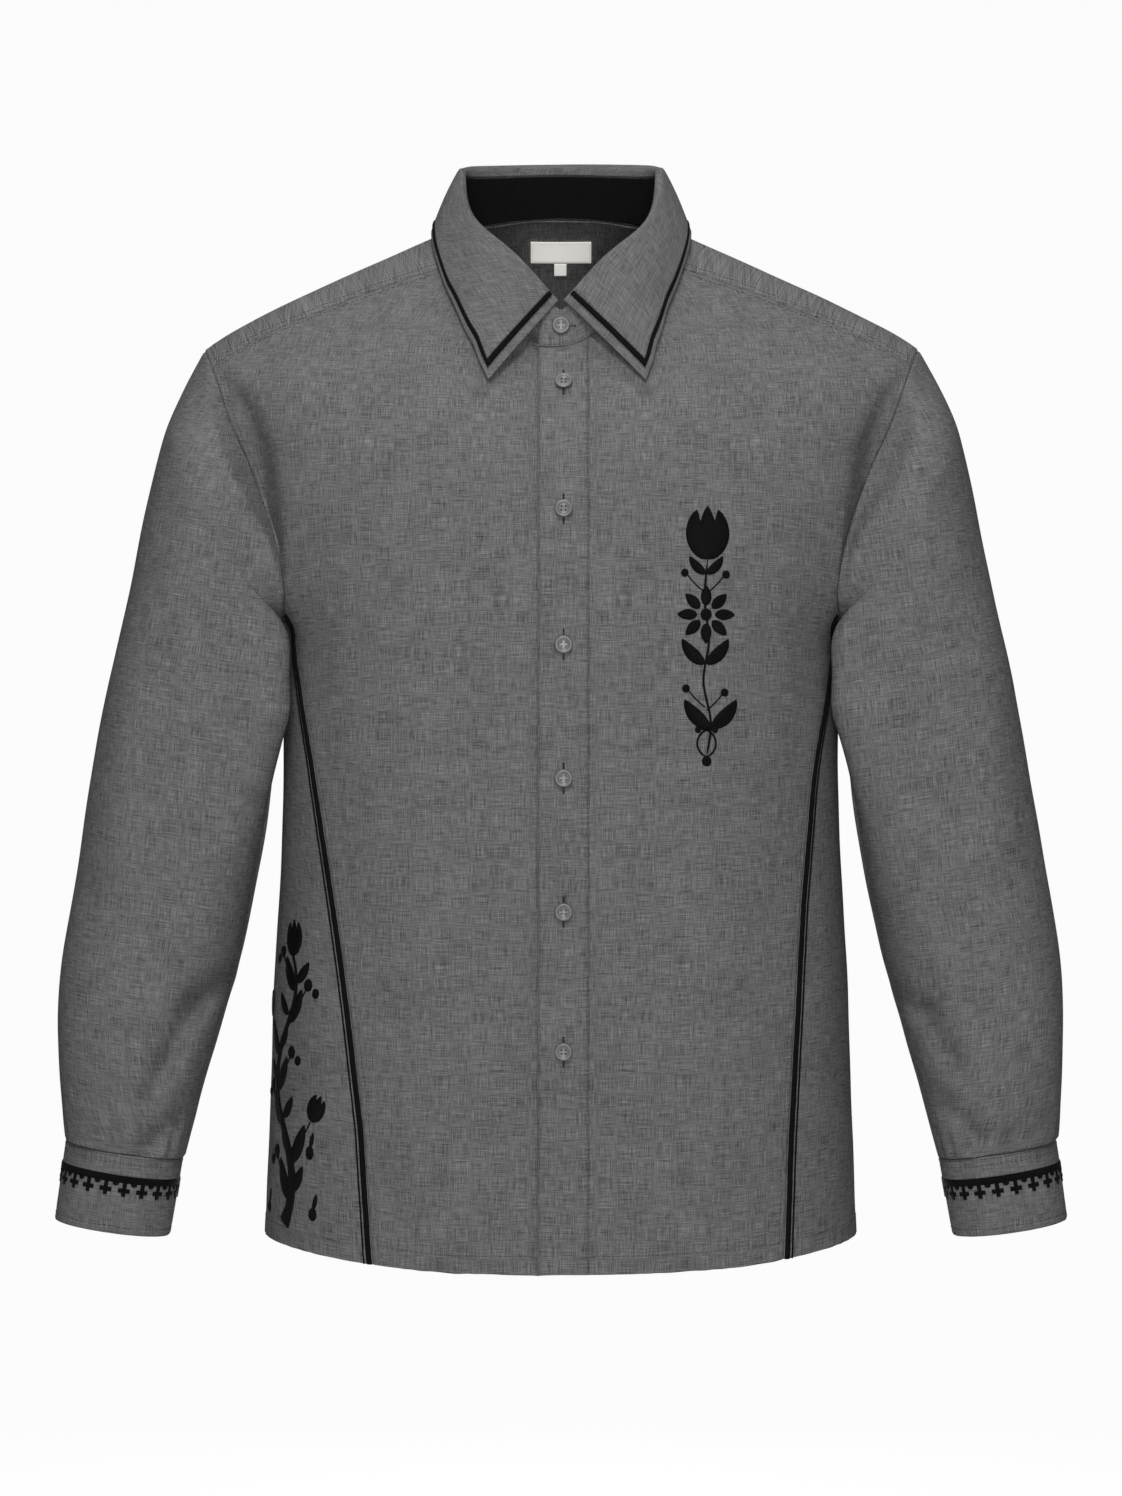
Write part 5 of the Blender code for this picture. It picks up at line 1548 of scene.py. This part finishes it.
def make_button(name, centre, normal):
    """A dished button with a rounded rim; its four holes are near-black discs of painted shade laid on the
    dish.
    """
    side, top = face_frame(normal, UP)
    batch = Batch()
    batch.tube(turned(centre, normal, circle(side, top, 48), BUTTON_RINGS), 0.01)
    batch.piece(name + "_disc", BUTTON, "button", name)
    for x in (-HOLE_ACROSS, HOLE_ACROSS):
        for y in (-HOLE_UP, HOLE_UP):
            hole_shade_discs.tube(turned(centre + side * x + top * y, normal, circle(side, top, 12), HOLE_RINGS), 0.001)


def make_buttonhole(centre, normal, up, half_length=0.0100):
    """A worked slit: two close rows of upright stitches and a bar at each end."""
    side, top = face_frame(normal, up)
    centre = centre + normal * 0.0002
    share = np.linspace(-half_length, half_length, 40)
    for x in (-0.00030, 0.00030):
        line = centre + top * share[:, None] + side * (x + 0.00010 * np.sin(share * 9000.0))[:, None]
        swell = 1.0 + 0.18 * np.sin(share * 8000.0)
        rings = line[:, None] + circle(side, normal, 6) * 0.00024 * swell[:, None, None]
        buttonholes.tube(rings, 2.0 * half_length)
    bar = np.linspace(-0.0006, 0.0006, 8)
    for sign in (-1.0, 1.0):
        line = centre + top * (sign * half_length) + side * bar[:, None]
        buttonholes.tube(line[:, None] + circle(top * 0.0005, normal * 0.0004, 6), 0.0016)


# Collar


def make_collar_stand():
    """The stand and its black facing, with round front corners."""
    path = np.linspace(STAND_START, STAND_END, 230)
    gap = NECK_RADIUS * np.radians(np.minimum(path - path[0], path[-1] - path))
    short = np.maximum(STAND_CORNER - gap, 0.0)
    drop = STAND_CORNER - np.sqrt(STAND_CORNER ** 2 - short ** 2)
    top = 1.0 - drop / STAND_HEIGHT
    share = np.concatenate([[0.0, 0.03, 0.07], np.linspace(0.13, 0.87, 9), [0.93, 0.97, 1.0]])
    height = share[:, None] * top[None, :]
    around = np.broadcast_to(path, height.shape)
    for name, near, wall, material, slot in (
        ("collar_stand", 0.0, STAND_WALL, LINEN_CUFF, "linen"),
        ("collar_stand_facing", STAND_WALL + SEAM_GAP, FACING_WALL, BLACK, "black_cloth"),
    ):
        outer = stand_point(around, height, near)
        inner = stand_point(around, height, near + wall)
        cloth(name, outer, inner, material, slot, ["yoke_cloth"])
        if name == "collar_stand":
            facing = unit(outer - inner)
            sew(collar_stitches, *inset_line(outer, facing, "first_row", 0.0016))
            sew(collar_stitches, *inset_line(outer, facing, "first_column", 0.0016, 0.002))


def make_collar_leaf():
    """The folded leaf; gives back the path angles of its columns for the trim."""
    half = LEAF_START + marks_across(LEAF_LENGTH, True, False) * (180.0 - LEAF_START)
    path = np.concatenate([half, 360.0 - half[-2::-1]])
    roll = np.linspace(0.0, 3.0, 16)
    fall = np.linspace(3.0, 5.4, 14)[1:]
    rows = np.concatenate([roll, fall, [5.6, 5.75, 5.86, 5.94, 6.0]])
    around, row = np.meshgrid(path, rows)
    outer = leaf_point(around, row)
    normals = leaf_normal(around, row)
    side_edge = np.minimum(lengths_along(outer, 1), lengths_along(outer[:, ::-1], 1)[:, ::-1])
    low_edge = lengths_along(outer[::-1], 0)[::-1]
    edge = np.minimum(side_edge, low_edge)
    height = drape(outer, 0.0004, 2.0) - 0.0005 * bell(edge, 0.0009)
    outer = outer + normals * height[..., None]
    inner = outer - normals * (LEAF_WALL - 0.0001)
    weave = np.stack([lengths_along(outer, 1), -low_edge], axis=-1)
    cloth("collar_leaf", outer, inner, LINEN_CUFF, "linen", ["collar_stand_cloth"], "folded", weave)
    return path


def trim_line(path, inset):
    """Path angle and row of a line that runs at one distance from the leaf's edges."""
    span = 3.0
    last = 6.0

    def beside_front(row):
        here, beside = leaf_point(np.array([LEAF_START, LEAF_START + span]), np.array([row, row]))
        return LEAF_START + span * inset / np.linalg.norm(beside - here)

    def above_edge(angle):
        here, edge = leaf_point(np.array([angle, angle]), np.array([last - 1.0, last]))
        return last - inset / np.linalg.norm(edge - here)

    line = [(beside_front(row), row) for row in np.linspace(2.9, 5.2, 14)]
    line.append((beside_front(5.6), above_edge(LEAF_START)))
    line += [(angle, above_edge(angle)) for angle in path[(path > 12.5) & (path <= 180.0)]]
    return np.array(line + [(360.0 - angle, row) for angle, row in line[-2::-1]])


def make_collar_trim(path):
    insets = np.linspace(0.0060, 0.0095, len(FLAT_CROWN))
    place = np.stack([trim_line(path, inset).T for inset in insets], axis=-1)
    crown = 0.00025 + 0.0008 * np.array(FLAT_CROWN)
    black_band("collar_trim", leaf_point(*place), leaf_normal(*place), crown)
    for inset in (0.0054, 0.0101):
        place = trim_line(path, inset).T
        sew(collar_stitches, leaf_point(*place), leaf_normal(*place))


def make_label():
    """A bare woven label and tab on the inside of the yoke, sewn down along its edge."""
    for name, left, right, top, bottom in (
        ("label", -0.0225, 0.0225, 0.0002, -0.0136),
        ("label_tab", -0.0050, 0.0040, -0.0142, -0.0222),
    ):
        x, z = np.meshgrid(np.linspace(left, right, 25), np.linspace(top, bottom, 11))
        angle, level = place_at(x, z, True)
        facing = -body_normal(angle, level)
        points = body(angle, level) + facing * (CLOTH + 0.0009)
        batch = Batch()
        batch.add(points + facing * 0.0005, points)
        piece = batch.piece(name + "_cloth", LABEL, "label", name)
        if name == "label":
            for edge in ("first_row", "last_row", "first_column", "last_column"):
                line = inset_line(points + facing * 0.0005, facing, edge, 0.0014, 0.0014)
                sew(label_stitches, *line, length=0.0016, gap=0.0007, radius=0.00014)


for side, word in SIDES:
    make_front(side, word)
for side, word in SIDES:
    make_side(side, word)
make_back()
make_yoke()
cuffs = {}
for side, word in SIDES:
    make_sleeve(side, word)
    cuffs[word] = make_cuff(side, word)
make_collar_stand()
make_collar_trim(make_collar_leaf())
make_label()

embroider("chest_embroidery", chest_design(), front_place, (0.100, -0.294))
embroider("side_embroidery", side_design(), side_place, (0.050, 0.0))
for word, faces in cuffs.items():
    place, length = cuff_place(*faces)
    embroider("cuff_border_" + word, border_design(length - 0.004), place)

low, spot, high = stand_point(np.zeros(3), np.array([0.46, 0.56, 0.66]), 0.0)
normal = unit(np.cross(ACROSS, high - low))
make_button("front_button_1", spot + normal * 0.0009, normal)
make_buttonhole(spot + normal * 0.0002, normal, ACROSS)
for number, z in enumerate((-0.1210, -0.2096, -0.3029, -0.3946, -0.4867, -0.5830)):
    points, facings = front_place(np.array([PLACKET_MIDDLE]), np.array([z]))
    base = points[0] + facings[0] * (LIFT + CLOTH)
    make_button("front_button_" + str(number + 2), base + facings[0] * 0.0007, facings[0])
    make_buttonhole(base, facings[0], UP)
for side, word in SIDES:
    spot, behind = cuff_point(side, np.full(2, -68.0), np.full(2, 0.5), np.array([0.0, 0.001]))
    normal = unit(spot - behind)
    make_button("cuff_button_" + word, spot + normal * 0.0006, normal)
    make_buttonhole(spot + normal * 0.0001, normal, UP, 0.0085)

for batch, name, material, slot in (
    (body_stitches, "body_stitching", GREY_THREAD, "linen"),
    (sleeve_stitches, "sleeve_stitching", GREY_THREAD, "linen"),
    (collar_stitches, "collar_stitching", GREY_THREAD, "linen"),
    (label_stitches, "label_stitching", PALE_THREAD, "label"),
    (hole_shade_discs, "button_hole_shade_discs", BUTTON_HOLE_SHADE, "button"),
    (buttonholes, "buttonhole_stitching", HOLE_THREAD, "linen"),
):
    batch.piece(name, material, slot)


# Floor, light and camera


def sweep(name, profile, half_width, colour, glow):
    """One strip of the studio's ground, from a side profile of (y, z) points."""
    points = [(x, y, z) for x in (-half_width, half_width) for y, z in profile]
    count = len(profile)
    faces = [(i, i + 1, count + i + 1, count + i) for i in range(count - 1)]
    mesh = bpy.data.meshes.new(name)
    mesh.from_pydata(points, [], faces)
    for face in mesh.polygons:
        face.use_smooth = True
    material = bpy.data.materials.new(name + "_paint")
    material.use_nodes = True
    shader = material.node_tree.nodes["Principled BSDF"]
    shader.inputs["Base Color"].default_value = (*colour, 1.0)
    shader.inputs["Roughness"].default_value = 0.9
    shader.inputs["Specular IOR Level"].default_value = 0.0
    shader.inputs["Emission Color"].default_value = (1.0, 1.0, 1.0, 1.0)
    shader.inputs["Emission Strength"].default_value = glow
    mesh.materials.append(material)
    ground = bpy.data.objects.new(name, mesh)
    bpy.context.scene.collection.objects.link(ground)


def studio():
    """A pale floor, and a bright sweep far behind that doesn't light the front of the cloth."""
    floor_z = -1.25
    start = 1.6
    turn = [0.5 * math.pi * share for share in np.linspace(0.0, 1.0, 25)]
    sweep("floor", [(-3.5, floor_z), (start, floor_z)], 3.0, (0.62, 0.62, 0.62), 0.0)
    curve = [(4.0 + math.sin(angle), floor_z + 1.0 - math.cos(angle)) for angle in turn]
    sweep("backdrop", [(start, floor_z)] + curve + [(5.0, 2.6)], 1.6, (0.05, 0.05, 0.05), 0.95)


def area_light(name, place, target, size, power):
    data = bpy.data.lights.new(name, "AREA")
    data.shape = "RECTANGLE"
    data.size = size[0]
    data.size_y = size[1]
    data.energy = power
    lamp = bpy.data.objects.new(name, data)
    way = np.asarray(target, float) - np.asarray(place, float)
    yaw = math.atan2(-way[0], way[1])
    pitch = math.atan2(way[2], math.hypot(way[0], way[1]))
    lamp.location = place
    lamp.rotation_euler = (math.pi / 2.0 + pitch, 0.0, yaw)
    bpy.context.scene.collection.objects.link(lamp)


studio()
area_light("key_light", (-0.15, -1.75, 1.25), (0.0, 0.0, -0.30), (0.7, 0.7), 24.5)
area_light("front_light", (0.10, -2.4, -0.30), (0.0, 0.0, -0.25), (0.6, 0.6), 21.5)
area_light("top_light", (0.1, 0.2, 1.9), (0.0, 0.0, -0.30), (2.0, 1.2), 24.0)
area_light("back_light", (0.0, 2.4, -0.25), (0.0, 0.0, -0.30), (0.45, 0.45), 20.0)

world = bpy.data.worlds.new("studio")
world.use_nodes = True
world.node_tree.nodes["Background"].inputs["Color"].default_value = (1.0, 1.0, 1.0, 1.0)
world.node_tree.nodes["Background"].inputs["Strength"].default_value = 0.13
bpy.context.scene.world = world

CAMERA_DISTANCE = 3.0
CAMERA_HEIGHT = -0.374
VIEW_HEIGHT = 1.0771
camera_data = bpy.data.cameras.new("camera")
camera_data.sensor_fit = "VERTICAL"
camera_data.sensor_height = 36.0
camera_data.lens = 36.0 * CAMERA_DISTANCE / VIEW_HEIGHT
camera = bpy.data.objects.new("camera", camera_data)
camera.location = (0.0, -CAMERA_DISTANCE, CAMERA_HEIGHT)
camera.rotation_euler = (math.pi / 2.0, 0.0, 0.0)
bpy.context.scene.collection.objects.link(camera)
bpy.context.scene.camera = camera
bpy.context.scene.view_settings.view_transform = "Standard"
